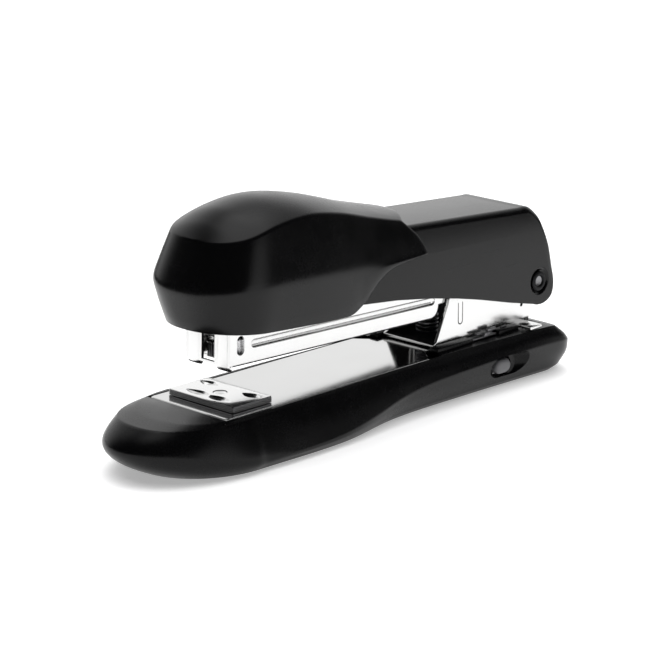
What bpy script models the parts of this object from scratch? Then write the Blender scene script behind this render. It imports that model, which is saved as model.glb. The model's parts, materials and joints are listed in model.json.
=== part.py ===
"""Half-strip desk stapler: base, magazine and handle on one rear pin.

Lengths below are millimetres and angles degrees; the mesh helpers turn them into metres.
+X runs to the rear, +Z up, and the stapler is symmetric about the plane y = 0.
The magazine and the handle are drawn level, about their pin, and their empties tilt them.
"""

import math

import bmesh
import bpy
from mathutils import Vector

MM = 0.001
GAP = 0.3  # left between pieces that touch
RUNNING = 0.25  # radial clearance round a pin

# ---------------------------------------------------------------- driving dimensions
FRAME_SHIFT = 2.35  # brings the middle of the whole length over the origin
DECK_Z = 13.3  # top of the base and of its steel plate
ANVIL_X = -43.0
PIVOT = Vector((59.6, 0.0, 24.3))
MAGAZINE_TILT = 1.83
HANDLE_TILT = 3.6
MAGAZINE_HALF = 7.5
SHEET = 0.8  # magazine and bracket steel
ARM_SHEET = 1.2
ARM_HALF = 11.2
PIN_R = 2.0

# Base housing. Each line is (x, half width) or (x, height), joined by a smooth curve.
SOLE_HALF = [(-46, 17.4), (-18, 17.4), (4, 13.5), (30, 13.1), (60, 13.8)]
CREASE_HALF = [(-46, 18.5), (-18, 18.4), (6, 16.4), (30, 16.6), (60, 17.3)]
RIM_HALF = [(-46, 14.9), (-18, 14.6), (6, 13.9), (30, 14.2), (60, 15.9)]
CREASE_HEIGHT = [
    (-75.6, 7.5), (-68, 6.4), (-58, 4.4), (-46, 3.0), (-24, 3.0), (-10, 4.5), (4, 7.0), (16, 8.2), (40, 9.1),
    (60, 9.2), (71, 8.3),
]
TOE_START_X = -46.0
HEEL_START_X = 60.5
HEEL_POWER = 3.0
HEEL_DROP_X = 58.0  # behind this the deck curves down
UNDERSIDE_Z = 0.4

# Base plate and anvil
PLATE_FRONT_X = -53.6
PLATE_HALF = 13.2
PLATE_TAIL_HALF = 8.3
PLATE_TAIL_X = 19.5
PLATE_REAR_X = 57.5
PLATE_T = 1.1
ANVIL_LENGTH = 12.8
ANVIL_WIDTH = 22.0
ANVIL_T = 1.3
RIVET_R = 1.6

# Bracket and deck
BRACKET_HALF = 8.6
BRACKET_FRONT_X = 23.2
BRACKET_REAR_X = 60.6
BRACKET_FLOOR_X = 22.0
COVER_FRONT_X = 20.3
COVER_STEP_X = 57.0
COVER_REAR_X = 59.6
COVER_HALF = 11.6
COVER_TOP_Z = DECK_Z + 1.1
LIFT_SPRING_X = 29.0
SCREW_XS = (37.0, 49.5)

# Side buttons
BUTTON_X = 41.9
BUTTON_Z = 6.0
BUTTON_FACE_Y = 14.9
BUTTON_LENGTH = 5.8
BUTTON_HEIGHT = 3.8
BUTTON_STROKE = 1.2

# Magazine, about the pin: u forward is negative, w up
MAG_FRONT_U = -106.3
MAG_BOTTOM_W = -4.8
MAG_TOP_W = 4.6
MAG_STEP_U = -34.2
STAPLE_TOP_W = 1.5
STRIP_FRONT_U = -103.5
STRIP_REAR_U = -77.0
PUSHER_LENGTH = 9.0
SPRING_REAR_U = -38.5

# Handle, about the pin
ARM_TOP_W = 20.0
ARM_FRONT_U = -106.6
ARM_LOWER = [(-11.3, -4.2), (-23, -1.9), (-32, -0.4), (-42, 0.9), (-54, 2.0), (-66, 2.5), (-92, 2.6)]
BLADE_U = -104.75
BLADE_TIP_W = -0.3
BLADE_T = 0.7

# Hood, about the pin: (u, half width) or (u, height) along its four lines
HOOD_WALL = 1.5
HOOD_REAR_U = -46.2
HOOD_RIDGE = [(-112.6, 22.0), (-108.5, 25.4), (-103, 28.4), (-93, 30.5), (-80, 29.4), (-63, 25.6), (-46, 22.4)]
HOOD_SHOULDER = [(-112.6, 22.0), (-106, 23.8), (-97, 26.4), (-88, 27.5), (-76, 26.4), (-62, 23.6), (-46, 21.9)]
HOOD_WAIST = [(-116.8, 10.6), (-108, 12.0), (-90, 12.7), (-60, 12.8), (-46, 13.5)]
HOOD_HEM = [(-114.2, 1.2), (-74, 1.2), (-71, 2.0), (-66.7, 4.9), (-63.8, 7.9), (-59.7, 10.5), (-52, 12.1), (-46, 12.9)]
HOOD_TURN_U = -100.0  # ahead of this the sides turn round the nose
HOOD_SWEEP = 8.0  # how far the rear edge leans forward at the shoulder
HOOD_BOW = 5.5  # how far its middle reaches back again
SHOULDER_HALF = [(-104, 14.5), (-85, 14.3), (-62, 13.2), (-46, 12.9)]
WAIST_HALF = [(-104, 16.6), (-85, 16.0), (-62, 13.9), (-46, 13.3)]
HEM_HALF = [(-104, 14.4), (-80, 14.5), (-62, 13.4), (-46, 13.2)]


# ---------------------------------------------------------------- small helpers
def along(points, x):
    """Height of the smooth curve through the points at x, level past its ends."""
    if x <= points[0][0]:
        return points[0][1]
    if x >= points[-1][0]:
        return points[-1][1]
    k = next(i for i in range(len(points) - 1) if x <= points[i + 1][0])
    (x0, y0), (x1, y1) = points[k], points[k + 1]

    def slope(i):
        low, high = points[max(i - 1, 0)], points[min(i + 1, len(points) - 1)]
        return (high[1] - low[1]) / (high[0] - low[0])

    span = x1 - x0
    t = (x - x0) / span
    blend = t * t * (3 - 2 * t)
    ease = (t - 2 * t * t + t**3) * slope(k) + (t**3 - t * t) * slope(k + 1)
    return y0 + (y1 - y0) * blend + ease * span


def oval_arc(centre_x, reach, half, power, steps):
    """Quarter of a superellipse from (centre_x, half) to (centre_x + reach, 0), tip left out."""
    points = []
    for i in range(steps):
        turn = math.pi / 2 * (i + 0.5) / steps
        across = math.cos(turn) ** (2 / power) * half
        points.append((centre_x + reach * math.sin(turn) ** (2 / power), across))
    return points


def material(name, colour, roughness, metallic=0.0):
    made = bpy.data.materials.new(name)
    made.use_nodes = True
    shader = made.node_tree.nodes["Principled BSDF"]
    shader.inputs["Base Color"].default_value = (*colour, 1.0)
    shader.inputs["Roughness"].default_value = roughness
    shader.inputs["Metallic"].default_value = metallic
    return made


def place(name, data, finish, parent=None, at=(0, 0, 0)):
    """One object of the mesh or curve, with its material, at a point in its parent's frame."""
    thing = bpy.data.objects.new(name, data)
    if finish:
        data.materials.append(finish)
    thing.location = Vector(at) * MM
    thing.parent = parent
    bpy.context.scene.collection.objects.link(thing)
    return thing


def mesh_of(name, points, faces, smooth=None):
    """A closed mesh with its faces turned out; smooth is the sharpest angle still shaded round."""
    form = bmesh.new()
    corners = [form.verts.new(Vector(p) * MM) for p in points]
    for face in faces:
        form.faces.new([corners[i] for i in face])
    bmesh.ops.recalc_face_normals(form, faces=form.faces)
    made = bpy.data.meshes.new(name)
    form.to_mesh(made)
    form.free()
    if smooth:
        made.shade_smooth()
        made.set_sharp_from_angle(angle=math.radians(smooth))
    return made


def rings_mesh(name, rings, smooth=None):
    """Loops of equal length joined in order, with both end loops filled."""
    count = len(rings[0])
    points = [p for ring in rings for p in ring]
    faces = [tuple(range(count)), tuple(range(len(points) - count, len(points)))]
    for r in range(len(rings) - 1):
        for i in range(count):
            a, b = r * count + i, r * count + (i + 1) % count
            faces.append((a, b, b + count, a + count))
    return mesh_of(name, points, faces, smooth)


def prism_y(name, profile, y0, y1, smooth=None):
    """The (x, z) profile extruded from y0 to y1."""
    return rings_mesh(name, [[(x, y, z) for x, z in profile] for y in (y0, y1)], smooth)


def prism_z(name, outline, z0, z1, smooth=None):
    """The (x, y) outline extruded from z0 to z1."""
    return rings_mesh(name, [[(x, y, z) for x, y in outline] for z in (z0, z1)], smooth)


def box(name, x, y, z):
    """A box from three (low, high) pairs."""
    return prism_y(name, [(x[0], z[0]), (x[1], z[0]), (x[1], z[1]), (x[0], z[1])], *y)


def arc(centre, radius, start, end, steps):
    """Points of an arc in a plane, by angle in degrees."""
    turns = [math.radians(start + (end - start) * i / steps) for i in range(steps + 1)]
    return [(centre[0] + radius * math.cos(t), centre[1] + radius * math.sin(t)) for t in turns]


def turned(name, profile, axis="Z", sides=24):
    """The (radius, height) profile turned about an axis through the origin."""
    rings = []
    for radius, height in profile:
        ring = []
        for i in range(sides):
            t = math.tau * i / sides
            a, b = radius * math.cos(t), radius * math.sin(t)
            ring.append({"X": (height, a, b), "Y": (b, height, a), "Z": (a, b, height)}[axis])
        rings.append(ring)
    return rings_mesh(name, rings, 40)


def washer_mesh(name, outer, inner, low, high, axis="Z", dish=0.0, sides=24):
    """A flat or dished ring; dish lifts its inner edge."""
    section = [(outer, low), (outer, high), (inner, high + dish), (inner, low + dish)]
    points, faces = [], []
    for i in range(sides):
        t = math.tau * i / sides
        for radius, height in section:
            a, b = radius * math.cos(t), radius * math.sin(t)
            points.append({"X": (height, a, b), "Y": (b, height, a), "Z": (a, b, height)}[axis])
    for i in range(sides):
        j = (i + 1) % sides
        for k in range(4):
            m = (k + 1) % 4
            faces.append((4 * i + k, 4 * i + m, 4 * j + m, 4 * j + k))
    return mesh_of(name, points, faces, 40)


def coil_curve(name, radius, wire, start, end, turns, axis="Z"):
    """A compression spring's wire about an axis through the origin."""
    made = bpy.data.curves.new(name, "CURVE")
    made.dimensions = "3D"
    made.bevel_depth = wire * MM
    made.bevel_resolution = 1
    made.use_fill_caps = True
    steps = int(turns * 10)
    spline = made.splines.new("POLY")
    spline.points.add(steps)
    for i, point in enumerate(spline.points):
        t = math.tau * turns * i / steps
        a, b = radius * math.cos(t), radius * math.sin(t)
        height = start + (end - start) * i / steps
        place_at = {"X": (height, a, b), "Y": (b, height, a), "Z": (a, b, height)}[axis]
        point.co = (*(Vector(place_at) * MM), 1.0)
    return made


def guide(name, data, parent=None, at=(0, 0, 0)):
    """An object used only to cut or to join."""
    thing = place(name, data, None, parent, at)
    thing.hide_render = True
    thing.display_type = "WIRE"
    return thing


def combine(thing, other, operation):
    step = thing.modifiers.new(other.name, "BOOLEAN")
    step.object = other
    step.operation = operation
    step.solver = "EXACT"
    return step


def cut(thing, *cutters):
    for cutter in cutters:
        combine(thing, cutter, "DIFFERENCE")


def join(thing, *others):
    for other in others:
        combine(thing, other, "UNION")


def round_edges(thing, width, segments=2, angle=40):
    step = thing.modifiers.new("rounded edges", "BEVEL")
    step.width = width * MM
    step.segments = segments
    step.limit_method = "ANGLE"
    step.angle_limit = math.radians(angle)


def oval_prism(name, length, height, y0, y1):
    """A flat sided oval along X, extruded along Y about the origin."""
    r = height / 2
    run = length / 2 - r
    outline = arc((run, 0), r, -90, 90, 8) + arc((-run, 0), r, 90, 270, 8)
    return prism_y(name, outline, y0, y1, 40)


# ---------------------------------------------------------------- base group
def base_loop(half_line, toe_x, heel_x, toe_power, height_at, widen=0.0):
    """One level of the housing: toe, near side, heel and back along the far side."""
    half_at_toe = along(half_line, TOE_START_X) + widen
    half_at_heel = along(half_line, HEEL_START_X) + widen
    toe = oval_arc(TOE_START_X, toe_x - TOE_START_X, half_at_toe, toe_power, 9)
    heel = oval_arc(HEEL_START_X, heel_x - HEEL_START_X, half_at_heel, HEEL_POWER, 6)
    steps = 17
    run = HEEL_START_X - TOE_START_X
    side = []
    for i in range(steps + 1):
        x = TOE_START_X + run * i / steps
        side.append((x, along(half_line, x) + widen))
    outline = toe[::-1] + side + heel
    near = [(x, -y, height_at(x)) for x, y in outline]
    far = [(x, y, height_at(x)) for x, y in reversed(outline)]
    return near + far


def halfway(first, second, share, spread):
    """A line between two others, pushed outwards."""
    return [(x, half + (along(second, x) - half) * share + spread) for x, half in first]


def housing_mesh():
    sole_z = UNDERSIDE_Z + 1.0

    def crease(x):
        return along(CREASE_HEIGHT, x)

    def heel_drop(x):
        return max(0.0, x - HEEL_DROP_X) ** 2 * 0.024

    def wall(x):
        return crease(x) * 0.45 + DECK_Z * 0.55 - heel_drop(x) * 0.8

    facet_half = halfway(SOLE_HALF, CREASE_HALF, 0.55, 0.2)
    wall_half = halfway(CREASE_HALF, RIM_HALF, 0.5, 0.7)
    levels = [
        base_loop(SOLE_HALF, -65.9, 66.0, 2.0, lambda x: UNDERSIDE_Z, -1.0),
        base_loop(SOLE_HALF, -68.0, 69.6, 2.0, lambda x: sole_z),
        base_loop(facet_half, -73.2, 70.9, 2.0, lambda x: (sole_z + crease(x)) / 2),
        base_loop(CREASE_HALF, -75.6, 69.4, 2.0, crease),
        base_loop(wall_half, -73.5, 67.4, 2.2, wall),
        base_loop(RIM_HALF, -69.4, 64.2, 2.5, lambda x: DECK_Z - 0.6 - heel_drop(x), 0.2),
        base_loop(RIM_HALF, -63.4, 62.6, 2.5, lambda x: DECK_Z - heel_drop(x), -0.4),
    ]
    count = len(levels[0])
    points = [p for level in levels for p in level]
    faces = []
    for r in range(len(levels) - 1):
        for i in range(count):
            a, b = r * count + i, r * count + (i + 1) % count
            faces.append((a, b, b + count, a + count))
    for start in (0, (len(levels) - 1) * count):
        for i in range(count // 2 - 1):
            a, b = start + i, start + i + 1
            faces.append((a, b, start + count - 2 - i, start + count - 1 - i))
    return mesh_of("base_housing", points, faces, 35)


def make_housing(plastic):
    housing = place("base_housing", housing_mesh(), plastic)
    wide = PLATE_HALF + GAP
    deck_end = COVER_REAR_X + GAP
    front = PLATE_FRONT_X - GAP
    tail = PLATE_TAIL_X + GAP
    rail = COVER_HALF + GAP
    outline = [(front, -wide), (tail, -wide), (tail, -rail), (deck_end, -rail)]
    outline += [(x, -y) for x, y in reversed(outline)]
    recess_floor = DECK_Z - PLATE_T - GAP
    cutters = [
        guide("deck_recess", prism_z("deck_recess", outline, recess_floor, 20)),
        guide("anvil_pocket", turned("anvil_pocket", [(8.0, DECK_Z - 5.1), (8.0, DECK_Z)]), at=(ANVIL_X, 0, 0)),
        guide("front_pad_seat", prism_z("front_pad_seat", pad_outline(-50, 16, 12.5, GAP), -1, 1.2)),
        guide("rear_pad_seat", prism_z("rear_pad_seat", pad_outline(59.5, 9, 11.5, GAP), -1, 1.2)),
    ]
    for k, (x0, x1) in enumerate(((-31, -14), (-12, 4), (6, 22))):
        name = f"underside_hollow_{k}"
        half0, half1 = (along(SOLE_HALF, x) - 3.2 for x in (x0, x1))
        hollow = [(x0, -half0), (x1, -half1), (x1, half1), (x0, half0)]
        cutters.append(guide(name, prism_z(name, hollow, -1, 9.6)))
    for side, sign in (("left", -1), ("right", 1)):
        name = f"button_hollow_{side}"
        cutters.append(guide(name, box(name, (31, 52), sorted((sign * 4.0, sign * 11.3)), (-1, 9.8))))
        name = f"button_recess_{side}"
        recess = oval_prism(name, 15.5, 5.4, *sorted((sign * 14.1, sign * 19)))
        cutters.append(guide(name, recess, at=(BUTTON_X + 0.9, 0, BUTTON_Z)))
        name = f"button_opening_{side}"
        opening = oval_prism(
            name, BUTTON_LENGTH + 2 * GAP, BUTTON_HEIGHT + 2 * GAP, *sorted((sign * 11.0, sign * 19))
        )
        cutters.append(guide(name, opening, at=(BUTTON_X, 0, BUTTON_Z)))
    for x in SCREW_XS:
        name = f"screw_bore_{x:.0f}"
        bore = [(3.1, -1), (3.1, 5.0), (1.9, 5.0), (1.9, 13.0)]
        cutters.append(guide(name, turned(name, bore), at=(x, 0, 0)))
    cut(housing, *cutters)


def pad_outline(centre_x, length, half, spread=0.0):
    r = 2.5 + spread
    low, high = centre_x - length / 2 + 2.5, centre_x + length / 2 - 2.5
    side = half - 2.5
    return (
        arc((high, side), r, 0, 90, 5) + arc((low, side), r, 90, 180, 5)
        + arc((low, -side), r, 180, 270, 5) + arc((high, -side), r, 270, 360, 5)
    )


def make_plate(steel):
    w, t = PLATE_HALF, PLATE_TAIL_HALF
    r = 1.2
    front = arc((PLATE_FRONT_X + r, -w + r), r, 180, 270, 4)
    tail = [(PLATE_TAIL_X - 4.0, -w), (PLATE_TAIL_X, -t), (PLATE_REAR_X, -t)]
    outline = front + tail
    outline += [(x, -y) for x, y in reversed(outline)]
    plate = place("base_plate", prism_z("base_plate", outline, DECK_Z - PLATE_T, DECK_Z), steel)
    round_edges(plate, 0.35, 2, 60)
    cutters = [guide("plate_hole", turned("plate_hole", [(RIVET_R + RUNNING, 0), (RIVET_R + RUNNING, 20)]),
                     at=(ANVIL_X, 0, 0))]
    for x in SCREW_XS:
        name = f"plate_screw_hole_{x:.0f}"
        cutters.append(guide(name, turned(name, [(1.9, 0), (1.9, 20)], sides=16), at=(x, 0, 0)))
    cut(plate, *cutters)


def lens(name, length, width, depth):
    """A shallow pressed pocket, pointed at both ends, along Y and open upwards."""
    steps = 10
    rings = []
    for i in range(1, steps):
        y = length * (i / steps - 0.5)
        full = math.cos(math.pi * y / length)
        half, deep = width / 2 * full, depth * full
        rings.append([(-half, y, 0.5), (-half, y, 0), (0, y, -deep), (half, y, 0), (half, y, 0.5)])
    return rings_mesh(name, rings)


def make_anvil(steel, dark_steel, anvil_axis):
    low = DECK_Z + GAP
    half_x, half_y = ANVIL_LENGTH / 2, ANVIL_WIDTH / 2
    top = low + ANVIL_T
    anvil = place("anvil", box("anvil", (-half_x, half_x), (-half_y, half_y), (low, top)), steel, anvil_axis)
    round_edges(anvil, 0.3, 1)
    seat = guide("rivet_seat", turned("rivet_seat", [(1.95, 0), (1.95, 20)]), anvil_axis)
    cutters = [seat]
    for k, (x, y, length) in enumerate(((-3.6, 3.9, 7.6), (-3.6, -3.9, 7.6), (3.6, 7.0, 6.0), (3.6, -7.0, 6.0))):
        name = f"clinch_pocket_{k}"
        cutters.append(guide(name, lens(name, length, 2.4, 0.8), anvil_axis, (x, y, top)))
    cut(anvil, *cutters)
    shank = [
        (2.9, DECK_Z - 4.3), (2.9, DECK_Z - 3.6), (RIVET_R, DECK_Z - 3.6), (RIVET_R, top - 0.35),
        (RIVET_R - 0.4, top - 0.1),
    ]
    place("anvil_rivet", turned("anvil_rivet", shank, sides=20), dark_steel, anvil_axis)
    washer = washer_mesh("anvil_spring", 6.0, RIVET_R + RUNNING, DECK_Z - 2.0, DECK_Z - 1.6, dish=-1.0)
    place("anvil_spring", washer, dark_steel, None, (ANVIL_X, 0, 0))


def make_bracket(steel, screw_steel):
    low = DECK_Z + GAP
    px, pz = PIVOT.x, PIVOT.z
    front_top = (BRACKET_FRONT_X + 4.4, pz + 0.1)
    profile = [(BRACKET_FLOOR_X, low), (BRACKET_REAR_X - 2.2, low), (BRACKET_REAR_X - 0.4, low + 3.8)]
    profile += arc((px, pz), 5.6, -30, 100, 10)
    profile += arc((front_top[0] + 2.0, front_top[1]), 2.0, 90, 180, 4)
    profile += [(BRACKET_FRONT_X, low + 1.4), (BRACKET_FLOOR_X, low + SHEET)]
    bracket = place("bracket", prism_y("bracket", profile, -BRACKET_HALF, BRACKET_HALF), steel)
    inner = BRACKET_HALF - SHEET
    floor = low + SHEET
    join(bracket, guide("bracket_feet", box("bracket_feet", (51.6, 56.2), (-15.2, 15.2), (low, floor))))
    hollow = box("bracket_hollow", (10, 80), (-inner, inner), (floor, 60))
    pin_hole = turned("bracket_pin_hole", [(PIN_R + RUNNING, -20), (PIN_R + RUNNING, 20)], "Y")
    cutters = [guide("bracket_hollow", hollow), guide("bracket_pin_hole", pin_hole, at=PIVOT)]
    for x in SCREW_XS:
        name = f"bracket_screw_hole_{x:.0f}"
        cutters.append(guide(name, turned(name, [(1.9, 0), (1.9, 20)], sides=16), at=(x, 0, 0)))
    for side, sign in (("left", -1), ("right", 1)):
        name = f"foot_hole_{side}"
        cutters.append(guide(name, turned(name, [(1.3, 0), (1.3, 20)], sides=16), at=(52.9, sign * 11.9, 0)))
    cut(bracket, *cutters)
    for place_name, x in zip(("front", "rear"), SCREW_XS):
        name = f"base_screw_{place_name}"
        body = [(2.8, 2.6), (2.8, 4.2), (1.5, 4.7), (1.5, floor + 0.8)]
        screw = place(name, turned(name, body, sides=20), screw_steel, None, (x, 0, 0))
        slot = guide(f"{name}_slot", box(f"{name}_slot", (-4, 4), (-0.4, 0.4), (2.0, 3.3)), None, (x, 0, 0))
        cut(screw, slot)


def make_deck_cover(plastic):
    """Black cover round the bracket: a strip along each side, joined behind it."""
    low, high = DECK_Z - PLATE_T, COVER_TOP_Z
    inner = BRACKET_HALF + GAP
    profile = [(COVER_FRONT_X, low), (COVER_REAR_X, low), (COVER_REAR_X, DECK_Z), (COVER_STEP_X + 0.8, DECK_Z)]
    profile += [(COVER_STEP_X, high), (COVER_FRONT_X, high)]
    strips = []
    for side, sign in (("left", -1), ("right", 1)):
        strips.append(prism_y(f"cover_strip_{side}", profile, *sorted((sign * inner, sign * COVER_HALF))))
    cover = place("deck_cover", strips[0], plastic)
    join(cover, guide("cover_strip", strips[1]))
    across = (-COVER_HALF, COVER_HALF)
    join(cover, guide("cover_bridge", box("cover_bridge", (PLATE_REAR_X + GAP, COVER_REAR_X), across, (low, DECK_Z))))
    for side, sign in (("left", -1), ("right", 1)):
        across = sorted((sign * 5, sign * 20))
        cut(cover, guide(f"foot_seat_{side}", box("foot_seat", (51.2, 56.6), across, (DECK_Z - 0.2, 20))))
        cut(cover, guide(f"latch_seat_{side}", box("latch_seat", (33.5, 43.5), across, (DECK_Z - 0.2, 20))))


def make_latch(dark_steel):
    """The clips beside the bracket that the side buttons bend."""
    low = DECK_Z + 0.1
    step = [(34, 0), (43, 0), (43, 0.6), (40.5, 0.6), (40.5, 1.3), (38.5, 1.3), (38.5, 0.6), (34, 0.6)]
    for side, sign in (("left", -1), ("right", 1)):
        name = f"latch_clip_{side}"
        outline = [(x, low + z) for x, z in step]
        place(name, prism_y(name, outline, *sorted((sign * 9.2, sign * 11.2))), dark_steel)


def make_feet(rubber):
    for name, x, length, half in (("front_pad", -50, 16, 12.5), ("rear_pad", 59.5, 9, 11.5)):
        pad = place(name, prism_z(name, pad_outline(x, length, half), 0, 0.9), rubber)
        round_edges(pad, 0.2, 1, 60)


def make_buttons(grey_plastic, dark_steel):
    for side, sign in (("left", -1), ("right", 1)):
        axis = bpy.data.objects.new(f"{side}_button_axis", None)
        axis.location = Vector((BUTTON_X, 0, BUTTON_Z)) * MM
        bpy.context.scene.collection.objects.link(axis)
        name = f"release_button_{side}"
        rings = []
        for inset, y in ((0.6, BUTTON_FACE_Y), (0.15, BUTTON_FACE_Y - 0.4), (0.0, BUTTON_FACE_Y - 1.0), (0.0, 10.8)):
            r = BUTTON_HEIGHT / 2 - inset
            run = (BUTTON_LENGTH - BUTTON_HEIGHT) / 2
            oval = arc((run, 0), r, -90, 90, 8) + arc((-run, 0), r, 90, 270, 8)
            rings.append([(a, sign * y, b) for a, b in oval])
        r, run = 2.7, 1.3
        flange = arc((run, 0), r, -90, 90, 8) + arc((-run, 0), r, 90, 270, 8)
        rings.append([(a, sign * 10.8, b) for a, b in flange])
        rings.append([(a, sign * 9.8, b) for a, b in flange])
        place(name, rings_mesh(name, rings, 40), grey_plastic, axis)
        name = f"button_spring_{side}"
        coil = coil_curve(name, 1.6, 0.3, sign * 4.6, sign * 9.1, 4, "Y")
        place(name, coil, dark_steel, None, (BUTTON_X, 0, BUTTON_Z))


# ---------------------------------------------------------------- magazine group
def make_magazine(steel, dark_steel, staple_steel, plastic, hinge):
    u0, bottom, top = MAG_FRONT_U, MAG_BOTTOM_W, MAG_TOP_W
    floor = bottom + 0.6
    profile = [(u0, bottom)] + arc((MAG_STEP_U - 3.2, bottom + 3.2), 3.2, -90, 0, 4)
    profile += [(-8, -1.6)] + arc((0, 0), top, -60, 90, 10) + [(u0, top)]
    half = MAGAZINE_HALF
    channel = place("magazine_channel", prism_y("magazine_channel", profile, -half, half, 40), steel, hinge)
    columns = []
    for side, sign in (("left", -1), ("right", 1)):
        name = f"nose_column_{side}"
        centre = sign * 4.9
        section = [(u0 + 0.7 - 0.9 * math.cos(t), centre + 2.6 * math.sin(t))
                   for t in [math.pi * (i / 8 - 0.5) for i in range(9)]]
        columns.append(guide(name, prism_z(name, section, bottom - 1.0, top), hinge))
    join(channel, *columns)
    inner = half - SHEET
    hollow = [(u0 + 0.8, floor), (-37.4, floor), (-34.4, -0.4), (-6, 0), (8, 0), (8, 30), (u0 + 0.8, 30)]
    cutters = [
        guide("magazine_hollow", prism_y("magazine_hollow", hollow, -inner, inner), hinge),
        guide("rear_hollow", box("rear_hollow", (-5, 8), (-inner, inner), (-8, 8)), hinge),
        guide("nose_window", box("nose_window", (u0 - 3, u0 + 2), (-2.2, 2.2), (-4.2, 2.5)), hinge),
        guide("staple_exit", box("staple_exit", (u0 + 0.8, STRIP_FRONT_U + 0.8), (-inner, inner), (-9, -3)), hinge),
        guide("side_slots", oval_slot("side_slots", -103.0, 0.15, 1.9, 4.6), hinge),
        guide("magazine_pin_hole", turned("magazine_pin_hole", [(PIN_R + RUNNING, -20), (PIN_R + RUNNING, 20)], "Y"),
              hinge),
    ]
    for side, sign in (("left", -1), ("right", 1)):
        name = f"side_groove_{side}"
        groove = box(name, (-99.4, -36), sorted((sign * (half - 0.35), sign * 9)), (-0.65, 0.65))
        cutters.append(guide(name, groove, hinge))
    cut(channel, *cutters)
    make_staples(staple_steel, hinge)
    make_rail(steel, dark_steel, hinge)
    make_pusher(plastic, dark_steel, hinge)


def oval_slot(name, u, w, width, height):
    """An upright slot through both side walls."""
    r = width / 2
    run = height / 2 - r
    outline = arc((u, w + run), r, 0, 180, 6) + arc((u, w - run), r, 180, 360, 6)
    return prism_y(name, outline, -20, 20)


def make_staples(staple_steel, hinge):
    top, low = STAPLE_TOP_W, MAG_BOTTOM_W + 0.6 + GAP
    outer, inner = 6.4, 5.8
    section = [(-outer, low), (-outer, top), (outer, top), (outer, low), (inner, low), (inner, top - 0.5),
               (-inner, top - 0.5), (-inner, low)]
    rings = [[(u, y, w) for y, w in section] for u in (STRIP_FRONT_U, STRIP_REAR_U)]
    place("staple_strip", rings_mesh("staple_strip", rings), staple_steel, hinge)


def make_rail(steel, dark_steel, hinge):
    """Inverted channel under the staples' crowns, slotted along its top for the pusher's tongue."""
    top = STAPLE_TOP_W - 0.5 - GAP
    low = MAG_BOTTOM_W + 0.6 + GAP
    half = 5.5
    rail = place("staple_rail", box("staple_rail", (-103.3, -40), (-half, half), (low, top)), steel, hinge)
    hollow = box("rail_hollow", (-102.5, -41), (-half + 0.7, half - 0.7), (-9, top - 0.7))
    slot = box("rail_slot", (-101, -42), (-1.1, 1.1), (-9, 9))
    cut(rail, guide("rail_hollow", hollow, hinge), guide("rail_slot", slot, hinge))
    rod = turned("follower_rod", [(0.8, -102.2), (0.8, -41.3)], "X", 12)
    place("follower_rod", rod, dark_steel, hinge, (0, 0, -2.0))


def make_pusher(plastic, dark_steel, hinge):
    front = STRIP_REAR_U + GAP
    rear = front + PUSHER_LENGTH
    top = 3.4
    slider = bpy.data.objects.new("pusher_axis", None)
    slider.parent = hinge
    slider.location = Vector((front, 0, 0)) * MM
    bpy.context.scene.collection.objects.link(slider)
    body = box("pusher", (0, PUSHER_LENGTH), (-6.4, 6.4), (-3.8, top))
    pusher = place("pusher", body, plastic, slider)
    rail_top = STAPLE_TOP_W - 0.5 - GAP
    under = box("pusher_straddle", (-1, 20), (-5.8, 5.8), (-9, rail_top + GAP))
    cut(pusher, guide("pusher_straddle", under, slider))
    tongue = box("pusher_tongue", (1, 7), (-0.8, 0.8), (-2.0, 2))
    ring = turned("pusher_ring", [(1.7, 1), (1.7, 7)], "X", 16)
    bore = turned("pusher_bore", [(1.1, -2), (1.1, 20)], "X", 16)
    join(pusher, guide("pusher_tongue", tongue, slider), guide("pusher_ring", ring, slider, (0, 0, -2.0)))
    cut(pusher, guide("pusher_bore", bore, slider, (0, 0, -2.0)))
    coil = coil_curve("pusher_spring", 1.45, 0.22, rear + GAP, SPRING_REAR_U - 3.2, 14, "X")
    place("pusher_spring", coil, dark_steel, hinge, (0, 0, -2.0))


# ---------------------------------------------------------------- handle group
def make_arm(paint, hinge):
    outer = arm_profile(0.0)
    arm = place("handle_arm", prism_y("handle_arm", outer, -ARM_HALF, ARM_HALF, 30), paint, hinge)
    inner_half = ARM_HALF - ARM_SHEET
    hollow = prism_y("arm_hollow", arm_profile(ARM_SHEET), -inner_half, inner_half)
    pin_hole = turned("arm_pin_hole", [(PIN_R + RUNNING, -20), (PIN_R + RUNNING, 20)], "Y")
    cutters = [guide("arm_hollow", hollow, hinge), guide("arm_pin_hole", pin_hole, hinge)]
    for side, sign in (("left", -1), ("right", 1)):
        name = f"arm_rivet_hole_{side}"
        hole = turned(name, [(1.45, -110), (1.45, -100)], "X", 16)
        cutters.append(guide(name, hole, hinge, (0, sign * 4.0, 15.0)))
    cut(arm, *cutters)


def arm_profile(inset):
    """Side view of the arm; inset by its sheet it is the hollow, which runs out below."""
    t = inset
    front, top = ARM_FRONT_U + t, ARM_TOP_W - t
    back = [(-9 - t, top), (-5.2 - t, top - 0.15), (-1.3 - t, 17.1 - t), (1.2 - t, 13.8), (3.6 - t, 9.4), (5.3 - t, 4.2)]
    if inset:
        return [(front, top)] + back[:-1] + [(9, 9.4), (9, -9), (-30, -9), (front, -4)]
    heel = arc((0, 0), 6.1, 10, -110, 10)
    return [(front, top)] + back + heel + ARM_LOWER + [(-97, 10.5), (front, 10.5)]


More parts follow.
